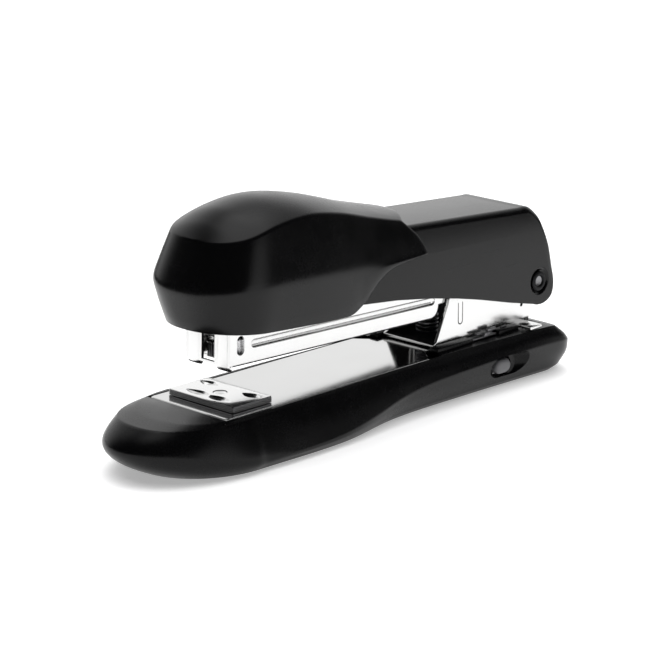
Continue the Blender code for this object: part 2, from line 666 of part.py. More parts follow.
def hood_section(u_rel, inset):
    """The hood's loop from the near hem over the crown to the far hem, at one station.

    u_rel runs from 0 at the rear edge to 1 at the side's end, then to 2 round the nose.
    """
    t = inset
    rows = []
    for line, half_line, tip, power, sweep in (
        (HOOD_HEM, HEM_HALF, -114.2, 2.1, 0.0),
        (HOOD_WAIST, WAIST_HALF, -116.8, 2.6, 0.0),
        (HOOD_SHOULDER, SHOULDER_HALF, -112.6, 2.6, HOOD_SWEEP),
    ):
        start = HOOD_TURN_U
        if u_rel <= 1:
            rear = HOOD_REAR_U - sweep
            u = rear + (start - rear) * u_rel
            y = along(half_line, u) - t
        else:
            turn = math.pi / 2 * (u_rel - 1)
            u = start + (tip + t - start) * math.sin(turn) ** (2 / power)
            y = (along(half_line, start) - t) * math.cos(turn) ** (2 / power)
        rows.append((u, y, along(line, u)))
    hem, waist, shoulder = rows
    if hem[2] > 3.0:
        share = (hem[2] - 1.5) / (waist[2] - 1.5)
        hem = (hem[0], hem[1] + (waist[1] - hem[1]) * share, hem[2])
    near = [hem, mix(hem, waist, 0.5, 0.35), waist, mix(waist, shoulder, 0.5, 0.45), shoulder]
    u, y, w = shoulder
    bow = HOOD_BOW * max(0.0, 1 - u_rel * 2)
    crown = []
    for k in (1, 2, 3):
        across = 1 - k / 3
        lift = 1 - across * across
        ridge_u = u + bow * lift
        crown.append((ridge_u, y * across, w + (along(HOOD_RIDGE, ridge_u) - w) * lift - t))
    near = [(a, b, c) if k < 4 else (a, b, c - t) for k, (a, b, c) in enumerate(near)] + crown
    return [(a, -b, c) for a, b, c in near] + [(a, b, c) for a, b, c in reversed(near[:-1])]


def mix(a, b, share, bulge):
    """A point between two, pushed out from the middle plane."""
    point = [p + (q - p) * share for p, q in zip(a, b)]
    scale = bulge if point[1] > bulge * 4 else 0.0
    return (point[0], point[1] + scale, point[2])


def hood_mesh():
    stations = [i / 12 for i in range(13)] + [1 + (i + 1) / 9 for i in range(8)] + [1.975]
    shells = [[hood_section(s, inset) for s in stations] for inset in (0.0, HOOD_WALL)]
    rows = len(shells[0][0])
    count = len(stations)
    points = [p for shell in shells for section in shell for p in section]

    def at(shell, station, row):
        return (shell * count + station) * rows + row

    faces = []
    for shell in (0, 1):
        for s in range(count - 1):
            for r in range(rows - 1):
                faces.append((at(shell, s, r), at(shell, s + 1, r), at(shell, s + 1, r + 1), at(shell, s, r + 1)))
        last = count - 1
        for r in range(rows // 2):
            mirror = rows - 1 - r
            if mirror - 1 == r + 1:
                faces.append((at(shell, last, r), at(shell, last, r + 1), at(shell, last, mirror)))
            else:
                faces.append((at(shell, last, r), at(shell, last, r + 1), at(shell, last, mirror - 1),
                              at(shell, last, mirror)))
    for r in range(rows - 1):
        faces.append((at(0, 0, r), at(0, 0, r + 1), at(1, 0, r + 1), at(1, 0, r)))
    for r in (0, rows - 1):
        for s in range(count - 1):
            faces.append((at(0, s, r), at(0, s + 1, r), at(1, s + 1, r), at(1, s, r)))
    last = count - 1
    faces.append((at(0, last, 0), at(0, last, rows - 1), at(1, last, rows - 1), at(1, last, 0)))
    return mesh_of("hood", points, faces, 40)


def make_blade(dark_steel, hinge):
    u0, u1 = BLADE_U - BLADE_T / 2, BLADE_U + BLADE_T / 2
    blade = place("driver_blade", box("driver_blade", (u0, u1), (-6.2, 6.2), (BLADE_TIP_W, 18.0)), dark_steel, hinge)
    for side, sign in (("left", -1), ("right", 1)):
        name = f"blade_hole_{side}"
        cut(blade, guide(name, turned(name, [(1.45, -110), (1.45, -100)], "X", 16), hinge, (0, sign * 4.0, 15.0)))
        name = f"blade_rivet_{side}"
        body = [(2.0, -107.6), (2.2, -107.2), (2.2, -106.9), (1.2, -106.9), (1.2, -104.1), (2.0, -104.1), (2.0, -103.6)]
        place(name, turned(name, body, "X", 16), dark_steel, hinge, (0, sign * 4.0, 15.0))


def make_return_spring(dark_steel, hinge):
    """Leaf of spring steel on the magazine whose free end lifts the handle."""
    lower = [(-30, 5.6), (-44, 5.6), (-66, 12.0), (-74, 13.0)]
    upper = [(u, w + 0.6) for u, w in reversed(lower)]
    place("return_spring", prism_y("return_spring", lower + upper, -3.5, 3.5), dark_steel, hinge)
    bridge = box("spring_bridge", (-42, -30), (-7.4, 7.4), (4.9, 5.3))
    place("spring_bridge", bridge, dark_steel, hinge)


def make_pin(steel):
    end = ARM_HALF + 0.45
    body = [(2.2, -end - 0.2), (2.65, -end), (2.65, -ARM_HALF - 0.2), (PIN_R, -ARM_HALF - 0.2)]
    body += [(r, -h) for r, h in reversed(body)]
    place("main_pin", turned("main_pin", body, "Y"), steel, None, PIVOT)
    for side, sign in (("left", -1), ("right", 1)):
        name = f"pivot_washer_{side}"
        ring = washer_mesh(name, 4.6, PIN_R + RUNNING, *sorted((sign * 8.85, sign * 9.75)), axis="Y")
        place(name, ring, steel, None, PIVOT)


def make_axis(name, at, tilt=0.0):
    axis = bpy.data.objects.new(name, None)
    axis.location = Vector(at) * MM
    axis.rotation_euler = (0, math.radians(tilt), 0)
    bpy.context.scene.collection.objects.link(axis)
    return axis


def main():
    for thing in list(bpy.data.objects):
        bpy.data.objects.remove(thing)
    plastic = material("black_plastic", (0.012, 0.012, 0.014), 0.45)
    paint = material("black_paint", (0.015, 0.015, 0.017), 0.35)
    steel = material("bright_steel", (0.75, 0.75, 0.74), 0.25, 1.0)
    dark_steel = material("spring_steel", (0.30, 0.30, 0.31), 0.35, 1.0)
    staple_steel = material("staple_wire", (0.62, 0.62, 0.62), 0.3, 1.0)
    grey_plastic = material("grey_plastic", (0.18, 0.18, 0.19), 0.4)
    rubber = material("rubber", (0.03, 0.03, 0.03), 0.8)

    anvil_axis = make_axis("anvil_axis", (ANVIL_X, 0, 0))
    magazine_hinge = make_axis("magazine_hinge_axis", PIVOT, MAGAZINE_TILT)
    handle_hinge = make_axis("handle_hinge_axis", PIVOT, HANDLE_TILT)

    make_housing(plastic)
    make_plate(steel)
    make_anvil(steel, dark_steel, anvil_axis)
    make_bracket(steel, dark_steel)
    make_deck_cover(plastic)
    make_latch(dark_steel)
    make_feet(rubber)
    make_buttons(grey_plastic, dark_steel)
    lift = coil_curve("lift_spring", 2.6, 0.35, DECK_Z + 1.9, DECK_Z + 9.4, 5)
    place("lift_spring", lift, dark_steel, None, (LIFT_SPRING_X, 0, 0))
    make_magazine(steel, dark_steel, staple_steel, plastic, magazine_hinge)
    make_return_spring(dark_steel, magazine_hinge)
    make_arm(paint, handle_hinge)
    place("hood", hood_mesh(), plastic, handle_hinge)
    make_blade(dark_steel, handle_hinge)
    make_pin(steel)

    drawn = [thing for thing in bpy.data.objects if thing.parent is None]
    stapler = make_axis("stapler", (FRAME_SHIFT, 0, 0))
    for thing in drawn:
        thing.parent = stapler


main()
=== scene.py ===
"""The looks of a half-strip desk stapler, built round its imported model.

Lengths are millimetres and angles degrees until a mesh is placed; the frame is in metres.
Three drawing frames are measured from the rear pin: the base's, level, and the magazine's and
the handle's, tilted about the pin, where u is negative towards the nose and w is up.
"""

import json
import math

import bmesh
import bpy
from mathutils import Matrix, Vector

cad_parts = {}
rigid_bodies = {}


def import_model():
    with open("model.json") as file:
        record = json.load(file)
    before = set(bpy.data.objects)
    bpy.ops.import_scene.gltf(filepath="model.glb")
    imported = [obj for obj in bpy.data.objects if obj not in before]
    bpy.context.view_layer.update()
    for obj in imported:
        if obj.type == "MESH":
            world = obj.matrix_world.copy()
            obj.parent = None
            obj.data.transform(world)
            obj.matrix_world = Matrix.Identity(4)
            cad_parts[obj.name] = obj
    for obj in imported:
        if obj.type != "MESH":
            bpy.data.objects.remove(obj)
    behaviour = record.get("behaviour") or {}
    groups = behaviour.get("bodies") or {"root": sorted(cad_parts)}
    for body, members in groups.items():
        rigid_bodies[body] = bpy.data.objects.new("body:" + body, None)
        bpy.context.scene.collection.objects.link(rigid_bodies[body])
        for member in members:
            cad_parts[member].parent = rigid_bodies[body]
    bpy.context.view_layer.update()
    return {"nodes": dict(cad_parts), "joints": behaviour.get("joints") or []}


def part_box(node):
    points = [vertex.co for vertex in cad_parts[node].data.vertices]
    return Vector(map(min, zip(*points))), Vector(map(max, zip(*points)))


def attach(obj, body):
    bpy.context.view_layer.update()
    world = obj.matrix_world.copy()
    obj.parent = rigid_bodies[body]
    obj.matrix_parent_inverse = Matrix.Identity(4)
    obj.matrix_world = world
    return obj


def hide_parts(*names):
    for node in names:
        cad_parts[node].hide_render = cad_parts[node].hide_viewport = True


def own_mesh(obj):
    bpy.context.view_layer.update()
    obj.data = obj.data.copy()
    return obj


bl_info = {
    "name": "Desk Stapler",
    "version": (1, 0, 0),
    "blender": (4, 5, 0),
    "location": "View3D > Sidebar > Stapler",
    "description": "Builds the shells, steel parts, springs and staples of a desk stapler",
    "category": "Object",
}

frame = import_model()
JOINTS = {joint["name"]: joint for joint in frame["joints"]}

MM = 0.001

# ---------------------------------------------------------------- drawing frames
PIN = Vector(JOINTS["magazine_hinge"]["pos_m"])
PIN_X = 59.6  # the pin's place in the base's drawing
MAGAZINE_TILT = 1.83
HANDLE_TILT = 3.6
LEVEL = Matrix.Translation((PIN.x - PIN_X * MM, 0, 0))
MAGAZINE = Matrix.Translation(PIN) @ Matrix.Rotation(math.radians(MAGAZINE_TILT), 4, "Y")
HANDLE = Matrix.Translation(PIN) @ Matrix.Rotation(math.radians(HANDLE_TILT), 4, "Y")
ALONG_X = Matrix.Rotation(math.radians(90), 4, "Y")
ALONG_Y = Matrix.Rotation(math.radians(-90), 4, "X")

# ---------------------------------------------------------------- base
DECK_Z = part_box("base_plate")[1].z / MM
UNDERSIDE_Z = 0.4
SOLE_HALF = [(-46, 17.4), (-18, 17.4), (4, 13.5), (30, 13.1), (60, 13.8)]
CREASE_HALF = [(-46, 18.5), (-18, 18.4), (6, 16.4), (30, 16.6), (60, 17.3)]
RIM_HALF = [(-46, 14.9), (-18, 14.6), (6, 13.9), (30, 14.2), (60, 15.9)]
CREASE_HEIGHT = [
    (-75.6, 7.5), (-68, 6.4), (-58, 4.4), (-46, 3.0), (-24, 3.0), (-10, 4.5), (4, 7.0), (16, 8.2),
    (40, 9.1), (60, 9.2), (71, 8.3),
]
TOE_X, HEEL_X, HEEL_DROP_X = -46.0, 60.5, 58.0
PLATE = {"front": -53.6, "tail": 19.5, "rear": 57.5, "half": 13.2, "sheet": 1.1}
COVER_HALF = 11.6
COVER_REAR_X = 59.6
ANVIL_X = -43.0
SCREW_XS = (37.0, 49.5)
HOLLOW_SPANS = ((-31, -14), (-12, 4), (6, 22))  # the moulded hollows underneath, front to rear
FRONT_PAD = {"x": -50, "length": 16, "half": 12.5}
REAR_PAD = {"x": 59.5, "length": 9, "half": 11.5}
PAD_SEAT_Z = 1.2
BUTTON = {"x": 41.9, "z": 6.0, "length": 5.8, "height": 3.8}
BUTTON_DOME = (  # how far the key's outline is drawn in, and where across the base
    (1.75, 14.93), (1.3, 14.92), (0.75, 14.86), (0.35, 14.7), (0.1, 14.4), (0.0, 13.9), (0.0, 10.8),
)

# ---------------------------------------------------------------- bracket and pin
BRACKET_HALF = 8.6
BRACKET_SHEET = 0.8
BRACKET_FRONT_X, BRACKET_FLOOR_X, BRACKET_REAR_X = 23.2, 22.0, 60.6
SLIT_X, SLIT_FOOT = 31.05, 18.8
SLIT_WIDE, SLIT_STEP, SLIT_TOP = 0.3, 1.6, 23.6
PIN_R = 2.0
GAP = 0.3
RUNNING = 0.25

# ---------------------------------------------------------------- magazine
MAG_FRONT_U, MAG_STEP_U = -106.3, -34.2
MAG_BOTTOM_W, MAG_TOP_W, MAG_HALF = -4.8, 4.6, 7.5
STRIP_FRONT_U, STRIP_REAR_U, STAPLE_TOP_W = -103.5, -77.0, 1.5
STAPLE = {"pitch": 0.53, "crown": 12.8, "thick": 0.5, "width": 0.47}
GROOVE = {"front": -99.6, "rear": -36.0, "radius": 1.1, "depth": 0.55}

# ---------------------------------------------------------------- handle
ARM_HALF, ARM_SHEET, ARM_TOP_W, ARM_FRONT_U = 11.2, 1.2, 20.0, -106.6
ARM_EDGE = 1.6
DISH_R, BLADE_RIVET_R, HEEL_R = 3.7, 1.45, 6.1
ARM_LOWER = [(-11.3, -4.2), (-23, -1.9), (-32, -0.4), (-42, 0.9), (-54, 2.0), (-66, 2.5), (-92, 2.6)]
HOOD_WALL, HOOD_REAR_U, HOOD_TURN_U, HOOD_SWEEP, HOOD_BOW = 1.1, -46.2, -100.0, 8.0, 5.5
HOOD_RIDGE = [
    (-112.6, 22.0), (-108.5, 25.4), (-103, 28.4), (-93, 30.5), (-80, 29.4), (-63, 25.6), (-46, 22.4),
]
HOOD_SHOULDER = [
    (-112.6, 21.8), (-106, 23.4), (-99, 25.4), (-91, 26.8), (-85, 27.1), (-76, 26.1), (-65, 23.8),
    (-54, 21.8), (-46, 20.9),
]
HOOD_WAIST = [(-116.8, 10.6), (-108, 12.0), (-90, 12.7), (-60, 12.8), (-46, 13.5)]
HOOD_HEM = [
    (-114.2, 1.0), (-74, 1.2), (-71, 2.0), (-66.7, 4.9), (-63.8, 7.9), (-59.7, 10.5), (-52, 12.1),
    (-46, 12.9),
]
SHOULDER_HALF = [(-104, 13.5), (-85, 13.1), (-62, 11.8), (-46, 11.4)]
WAIST_HALF = [(-104, 16.6), (-85, 16.0), (-62, 13.9), (-46, 13.3)]
HEM_HALF = [(-104, 14.4), (-80, 14.5), (-62, 13.4), (-46, 13.2)]

# ---------------------------------------------------------------- camera
CAMERA = {"x": -458.2, "y": -440.16, "z": 201.94, "azimuth": -45.88, "elevation": 15.984, "lens": 145.07}
SENSOR = 36.0
STRIP_WAY = (0.25, -0.96)  # where the soft strip stands, seen from the stapler
CROWN_LIGHT_TILT = 80  # height of the soft light over the grip, leaning back from the camera
STEELS = ("plate steel", "bright steel", "anvil steel", "staple wire")
CARD = {"away": 1.5, "height": 0.42, "size": (1.8, 0.8), "power": 3.0}  # metres and watts
CARD_SIDES = (0, 2, 3)  # quarter turns from the camera's right; none stands straight behind the stapler
FLOOR_CORNERS = ((-0.2, -0.3), (0.25, -0.3), (0.25, 3.0), (-0.2, 3.0))  # metres to the right and ahead
OVERHEAD = {"height": 1.6, "side": 2.4}


# ================================================================ lines and outlines
def along(points, x):
    """Height of the smooth curve through the points at x, level past its ends."""
    if x <= points[0][0]:
        return points[0][1]
    if x >= points[-1][0]:
        return points[-1][1]
    k = next(i for i in range(len(points) - 1) if x <= points[i + 1][0])
    (x0, y0), (x1, y1) = points[k], points[k + 1]

    def slope(i):
        low, high = points[max(i - 1, 0)], points[min(i + 1, len(points) - 1)]
        return (high[1] - low[1]) / (high[0] - low[0])

    span = x1 - x0
    t = (x - x0) / span
    blend = t * t * (3 - 2 * t)
    ease = (t - 2 * t * t + t**3) * slope(k) + (t**3 - t * t) * slope(k + 1)
    return y0 + (y1 - y0) * blend + ease * span


def arc(centre, radius, start, end, steps):
    """Points of an arc in a plane, by angle in degrees."""
    turns = [math.radians(start + (end - start) * i / steps) for i in range(steps + 1)]
    return [(centre[0] + radius * math.cos(t), centre[1] + radius * math.sin(t)) for t in turns]


def oval(length, height, centre=(0.0, 0.0), steps=16):
    """A flat-sided oval, long way first."""
    r = height / 2
    run = length / 2 - r
    x, y = centre
    return arc((x + run, y), r, -90, 90, steps) + arc((x - run, y), r, 90, 270, steps)


def quarter(centre, reach, half, power, steps):
    """Quarter of a superellipse from (centre, half) to (centre + reach, 0), both ends left out."""
    points = []
    for i in range(steps):
        turn = math.pi / 2 * (i + 0.5) / steps
        across = math.cos(turn) ** (2 / power) * half
        points.append((centre + reach * math.sin(turn) ** (2 / power), across))
    return points


def spline(points, steps):
    """A smooth line through the points, with steps stretches between each two."""
    points = [Vector(p) for p in points]
    line = []
    for i in range(len(points) - 1):
        a, b = points[i], points[i + 1]
        before = points[i - 1] if i else a * 2 - b
        after = points[i + 2] if i + 2 < len(points) else b * 2 - a
        for k in range(steps):
            t = k / steps
            line.append(
                0.5 * ((2 * a) + (b - before) * t + (2 * before - 5 * a + 4 * b - after) * t**2
                       + (3 * a - before - 3 * b + after) * t**3)
            )
    line.append(points[-1])
    return line


def rounded(points, corners, steps, turn_steps=4):
    """A smooth line through the points whose corners, {index: radius}, are small rounds."""
    stops = [0, *sorted(corners), len(points) - 1]
    stretches = [spline(points[a:b + 1], steps) for a, b in zip(stops, stops[1:])]
    line = list(stretches[0])
    for stop, stretch in zip(sorted(corners), stretches[1:]):
        corner = line.pop()
        before, after = line[-1], stretch[1]
        radius = corners[stop]
        start = corner + (before - corner) * min(0.6, radius / max((before - corner).length, 1e-6))
        end = corner + (after - corner) * min(0.6, radius / max((after - corner).length, 1e-6))
        for k in range(turn_steps + 1):
            t = k / turn_steps
            line.append(start * (1 - t) ** 2 + corner * (2 * t * (1 - t)) + end * t * t)
        line.extend(stretch[1:])
    return line


def relaxed(line, share, first, last):
    """The line with its corners between two indices eased away, all of them when share is 1."""
    for _ in range(int(90 * share)):
        line = line[:first] + [
            (line[i - 1] + line[i] * 2 + line[i + 1]) / 4 for i in range(first, len(line) + last)
        ] + line[last:]
    return line


def filled_out(line, before):
    """The eased toe line pushed out again until it reaches as far as it did before."""
    centre = Vector((TOE_X, 0, 0))

    def reach(points):
        return max(((p - centre).xy.length for p in points if p.x < TOE_X), default=0.0)

    if not reach(line):
        return line
    gain = reach(before) / reach(line) - 1
    made = []
    for i, point in enumerate(line):
        share = math.sin(math.pi * i / (len(line) - 1)) * gain
        made.append(Vector((point.x + (point.x - centre.x) * share, point.y * (1 + share), point.z)))
    return made


# ================================================================ meshes
def closed_mesh(name, points, faces, place=LEVEL):
    """A mesh in metres with its faces turned out, from points in a drawing frame."""
    form = bmesh.new()
    corners = [form.verts.new(place @ (Vector(p) * MM)) for p in points]
    for face in faces:
        form.faces.new([corners[i] for i in face])
    bmesh.ops.recalc_face_normals(form, faces=form.faces)
    return emptied(name, form)


def emptied(name, form):
    """The mesh that a bmesh holds; the bmesh is freed."""
    made = bpy.data.meshes.new(name)
    form.to_mesh(made)
    form.free()
    return made


def lofted(name, loops, place=LEVEL, ring=False):
    """Loops of equal length joined in order, with both ends filled, or joined to a ring."""
    count = len(loops[0])
    points = [p for loop in loops for p in loop]
    total = len(loops)
    faces = []
    if not ring:
        faces = [tuple(range(count)), tuple(range(len(points) - count, len(points)))]
    for r in range(total if ring else total - 1):
        s = (r + 1) % total
        for i in range(count):
            j = (i + 1) % count
            faces.append((r * count + i, r * count + j, s * count + j, s * count + i))
    return closed_mesh(name, points, faces, place)


def prism_y(name, profile, y0, y1, place=LEVEL):
    """The (x, z) profile extruded from y0 to y1."""
    return lofted(name, [[(x, y, z) for x, z in profile] for y in (y0, y1)], place)


def prism_z(name, outline, z0, z1, place=LEVEL):
    """The (x, y) outline extruded from z0 to z1."""
    return lofted(name, [[(x, y, z) for x, y in outline] for z in (z0, z1)], place)


def block(name, x, y, z, place=LEVEL):
    """A box from three (low, high) pairs."""
    return prism_y(name, [(x[0], z[0]), (x[1], z[0]), (x[1], z[1]), (x[0], z[1])], y[0], y[1], place)


def turned(name, profile, place=LEVEL, sides=64, ring=False):
    """The (radius, height) profile turned about the Z axis of its place."""
    loops = []
    for i in range(sides):
        t = math.tau * i / sides
        loops.append([(radius * math.cos(t), radius * math.sin(t), height) for radius, height in profile])
    return lofted(name, [list(line) for line in zip(*loops)], place, ring)


def at(x=0.0, y=0.0, z=0.0, place=LEVEL):
    """A place moved by millimetres in its own frame."""
    return place @ Matrix.Translation(Vector((x, y, z)) * MM)


def stand_in(name, mesh):
    """A short-lived object of the mesh, for its modifiers."""
    thing = bpy.data.objects.new(name, mesh)
    bpy.context.scene.collection.objects.link(thing)
    return thing


def evaluated(thing, *helpers):
    """The mesh of an object with its modifiers applied; it and its helpers are removed."""
    made = bpy.data.meshes.new_from_object(thing.evaluated_get(bpy.context.evaluated_depsgraph_get()))
    for other in (thing, *helpers):
        bpy.data.objects.remove(other)
    return made


def carved(mesh, cutters=(), added=()):
    """The mesh with others joined to it and then cut from it."""
    thing = stand_in("carved", mesh)
    helpers = []
    for operation, others in (("UNION", added), ("DIFFERENCE", cutters)):
        for other in others:
            helper = stand_in(other.name, other)
            helpers.append(helper)
            step = thing.modifiers.new(helper.name, "BOOLEAN")
            step.object = helper
            step.operation = operation
            step.solver = "EXACT"
    return evaluated(thing, *helpers)


def softened(mesh, width, segments=2, angle=35):
    """The mesh with its sharp edges rounded."""
    thing = stand_in("softened", mesh)
    step = thing.modifiers.new("rounded edges", "BEVEL")
    step.width = width * MM
    step.segments = segments
    step.limit_method = "ANGLE"
    step.angle_limit = math.radians(angle)
    step.harden_normals = False
    return evaluated(thing)


def joined(name, *meshes):
    """Several separate meshes in one."""
    form = bmesh.new()
    for mesh in meshes:
        form.from_mesh(mesh)
    return emptied(name, form)


def node_copy(node, width=0.0, segments=2):
    """A merged copy of a CAD node's mesh with its flat triangles dissolved and its edges rounded."""
    form = bmesh.new()
    form.from_mesh(frame["nodes"][node].data)
    bmesh.ops.remove_doubles(form, verts=form.verts, dist=0.004 * MM)
    bmesh.ops.dissolve_limit(
        form, angle_limit=math.radians(1.0), verts=form.verts, edges=form.edges, delimit={"NORMAL"}
    )
    made = emptied(node, form)
    made.materials.clear()
    return softened(made, width, segments) if width else made


def show(name, mesh, body, finishes, nodes=(), sharp=32):
    """A finished piece at the origin: shaded, finished, riding on its body and standing for its nodes."""
    mesh.name = name
    if not mesh.materials:
        for finish in finishes:
            mesh.materials.append(finish)
    mesh.shade_smooth()
    mesh.set_sharp_from_angle(angle=math.radians(sharp))
    thing = bpy.data.objects.new(name, mesh)
    bpy.context.scene.collection.objects.link(thing)
    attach(thing, body)
    if nodes:
        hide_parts(*nodes)
    return thing


def paint_faces(mesh, index, chosen):
    """Gives a second finish to the faces that chosen(face) picks."""
    for face in mesh.polygons:
        if chosen(face):
            face.material_index = index


# ================================================================ shader maths
class Socket:
    """A shader socket or a number, with operators that add Math nodes."""

    def __init__(self, tree, out):
        self.tree, self.out = tree, out

    def _math(self, operation, *values):
        return self.tree.node("ShaderNodeMath", {"operation": operation}, values)

    def __add__(self, other):
        return self._math("ADD", self, other)

    def __radd__(self, other):
        return self._math("ADD", other, self)

    def __sub__(self, other):
        return self._math("SUBTRACT", self, other)

    def __rsub__(self, other):
        return self._math("SUBTRACT", other, self)

    def __mul__(self, other):
        return self._math("MULTIPLY", self, other)

    def __rmul__(self, other):
        return self._math("MULTIPLY", other, self)


class Finish:
    """A material under construction, read on Object coordinates."""

    def __init__(self, name):
        self.material = bpy.data.materials.new(name)
        self.material.use_nodes = True
        self.nodes = self.material.node_tree.nodes
        self.links = self.material.node_tree.links
        self.shader = self.nodes["Principled BSDF"]
        self.object = Socket(self, self.nodes.new("ShaderNodeTexCoord").outputs["Object"])

    def node(self, kind, settings=None, inputs=(), out=0):
        """Any node, from its type, its settings and the values or links of its sockets."""
        made = self.nodes.new(kind)
        for key, value in (settings or {}).items():
            if key == "stops":
                for stop, (position, colour) in zip(made.color_ramp.elements, value):
                    stop.position, stop.color = position, colour
            else:
                setattr(made, key, value)
        pairs = inputs.items() if isinstance(inputs, dict) else enumerate(inputs)
        for key, value in pairs:
            self.feed(made.inputs[key], value)
        return Socket(self, made.outputs[out])

    def feed(self, socket, value):
        if isinstance(value, Socket):
            self.links.new(value.out, socket)
        else:
            socket.default_value = value

    def set(self, **values):
        for key, value in values.items():
            self.feed(self.shader.inputs[key.replace("_", " ").title().replace("Ior", "IOR")], value)

    def stretched(self, scale):
        """Object coordinates with the pattern drawn out along an axis."""
        return self.node("ShaderNodeMapping", {}, {"Vector": self.object, "Scale": scale})

    def noise(self, scale, detail=2.0, rough=0.5, place=None):
        values = {"Vector": place or self.object, "Scale": scale, "Detail": detail, "Roughness": rough}
        return self.node("ShaderNodeTexNoise", {"noise_dimensions": "3D"}, values)

    def cells(self, scale, place=None):
        values = {"Vector": place or self.object, "Scale": scale}
        return self.node("ShaderNodeTexVoronoi", {"feature": "F1"}, values, "Distance")

    def between(self, value, low, high):
        """value stretched so that low becomes 0 and high 1, and kept there."""
        values = {"Value": value, "From Min": low, "From Max": high}
        return self.node("ShaderNodeMapRange", {"clamp": True}, values, "Result")

    def mixed(self, share, first, second):
        """A colour between two."""
        made = self.nodes.new("ShaderNodeMix")
        made.data_type = "RGBA"
        self.feed(made.inputs["Factor"], share)
        for socket, value in ((made.inputs[6], first), (made.inputs[7], second)):
            self.feed(socket, (*value, 1.0) if isinstance(value, tuple) and len(value) == 3 else value)
        return Socket(self, made.outputs[2])

    def bump(self, height, depth_mm, strength=1.0, under=None):
        values = {"Height": height, "Distance": depth_mm * MM, "Strength": strength}
        if under is not None:
            values["Normal"] = under
        return self.node("ShaderNodeBump", {}, values, "Normal")


def moulded_plastic(name, colour, roughness, grain_mm=0.012, sheen=0.23):
    """Satin moulded plastic: spark-eroded grain, faint cloudiness and rubbed patches."""
    finish = Finish(name)
    grain = finish.cells(3400.0)
    fine = finish.noise(5200.0, 2.0)
    cloud = finish.noise(60.0, 3.0)
    rub = finish.between(finish.noise(140.0, 4.0, 0.6), 0.52, 0.72)
    light = tuple(c * 1.7 + 0.0004 for c in colour)
    finish.set(
        base_color=finish.mixed(cloud, colour, light),
        roughness=(cloud * 0.10 + fine * 0.06 + (roughness - 0.08)) - rub * 0.05,
        normal=finish.bump(grain * 0.7 + fine * 0.5, grain_mm, 0.4),
        specular_ior_level=sheen,
    )
    return finish.material


def enamel(name, colour, roughness):
    """Stoved black enamel on sheet steel: orange peel and a few hairline rubs."""
    finish = Finish(name)
    peel = finish.noise(900.0, 2.0, 0.4)
    cloud = finish.noise(45.0, 2.0)
    hair = finish.noise(900.0, 3.0, 0.6, finish.stretched((0.04, 1.0, 1.0)))
    scuff = finish.between(hair, 0.62, 0.75)
    finish.set(
        base_color=finish.mixed(cloud, colour, tuple(c * 1.5 for c in colour)),
        roughness=roughness + cloud * 0.07 + scuff * 0.08,
        normal=finish.bump(peel, 0.006, 0.5),
        specular_ior_level=0.26,
    )
    return finish.material


def plated_steel(name, colour, roughness, hairline=0.35, wave_mm=0.0):
    """Nickel-plated sheet: rolling hairlines along X, faint tarnish and a slight waviness."""
    finish = Finish(name)
    hair = finish.noise(1500.0, 3.0, 0.65, finish.stretched((0.03, 1.0, 1.0)))
    tarnish = finish.noise(90.0, 3.0)
    dull = tuple(c * 0.93 for c in colour)
    finish.set(
        base_color=finish.mixed(tarnish, colour, dull),
        roughness=roughness + hair * hairline * 0.12 + tarnish * 0.03,
        metallic=1.0,
    )
    if wave_mm:
        wave = finish.noise(55.0, 1.0)
        finish.set(normal=finish.bump(hair * 0.15 + wave, wave_mm, 0.4))
    else:
        finish.set(normal=finish.bump(hair, 0.0012, 0.25))
    return finish.material


def dark_steel(name, colour, roughness, scale=1400.0):
    """Oil-blackened spring or tool steel with a mottled, drawn surface."""
    finish = Finish(name)
    mottle = finish.noise(scale, 4.0, 0.6)
    stain = finish.noise(220.0, 3.0)
    finish.set(
        base_color=finish.mixed(stain, colour, tuple(c * 0.55 for c in colour)),
        roughness=roughness + mottle * 0.18,
        metallic=1.0,
        normal=finish.bump(mottle, 0.006, 0.5),
    )
    return finish.material


def pad_rubber(name):
    finish = Finish(name)
    pores = finish.noise(2600.0, 3.0, 0.6)
    dust = finish.between(finish.noise(180.0, 4.0), 0.45, 0.8)
    finish.set(
        base_color=finish.mixed(dust, (0.022, 0.022, 0.023), (0.06, 0.058, 0.055)),
        roughness=0.72 + dust * 0.15,
        normal=finish.bump(pores, 0.03, 0.6),
    )
    return finish.material


def studio_card(name):
    """Matt pale floor with a barely visible tooth."""
    finish = Finish(name)
    tooth = finish.noise(40.0, 3.0)
    finish.set(
        base_color=finish.mixed(tooth, (0.86, 0.86, 0.86), (0.84, 0.84, 0.845)),
        roughness=0.9 + tooth * 0.05,
        emission_strength=0.38,
    )
    finish.shader.inputs["Emission Color"].default_value = (1.0, 1.0, 1.0, 1.0)
    return finish.material


FINISHES = {}


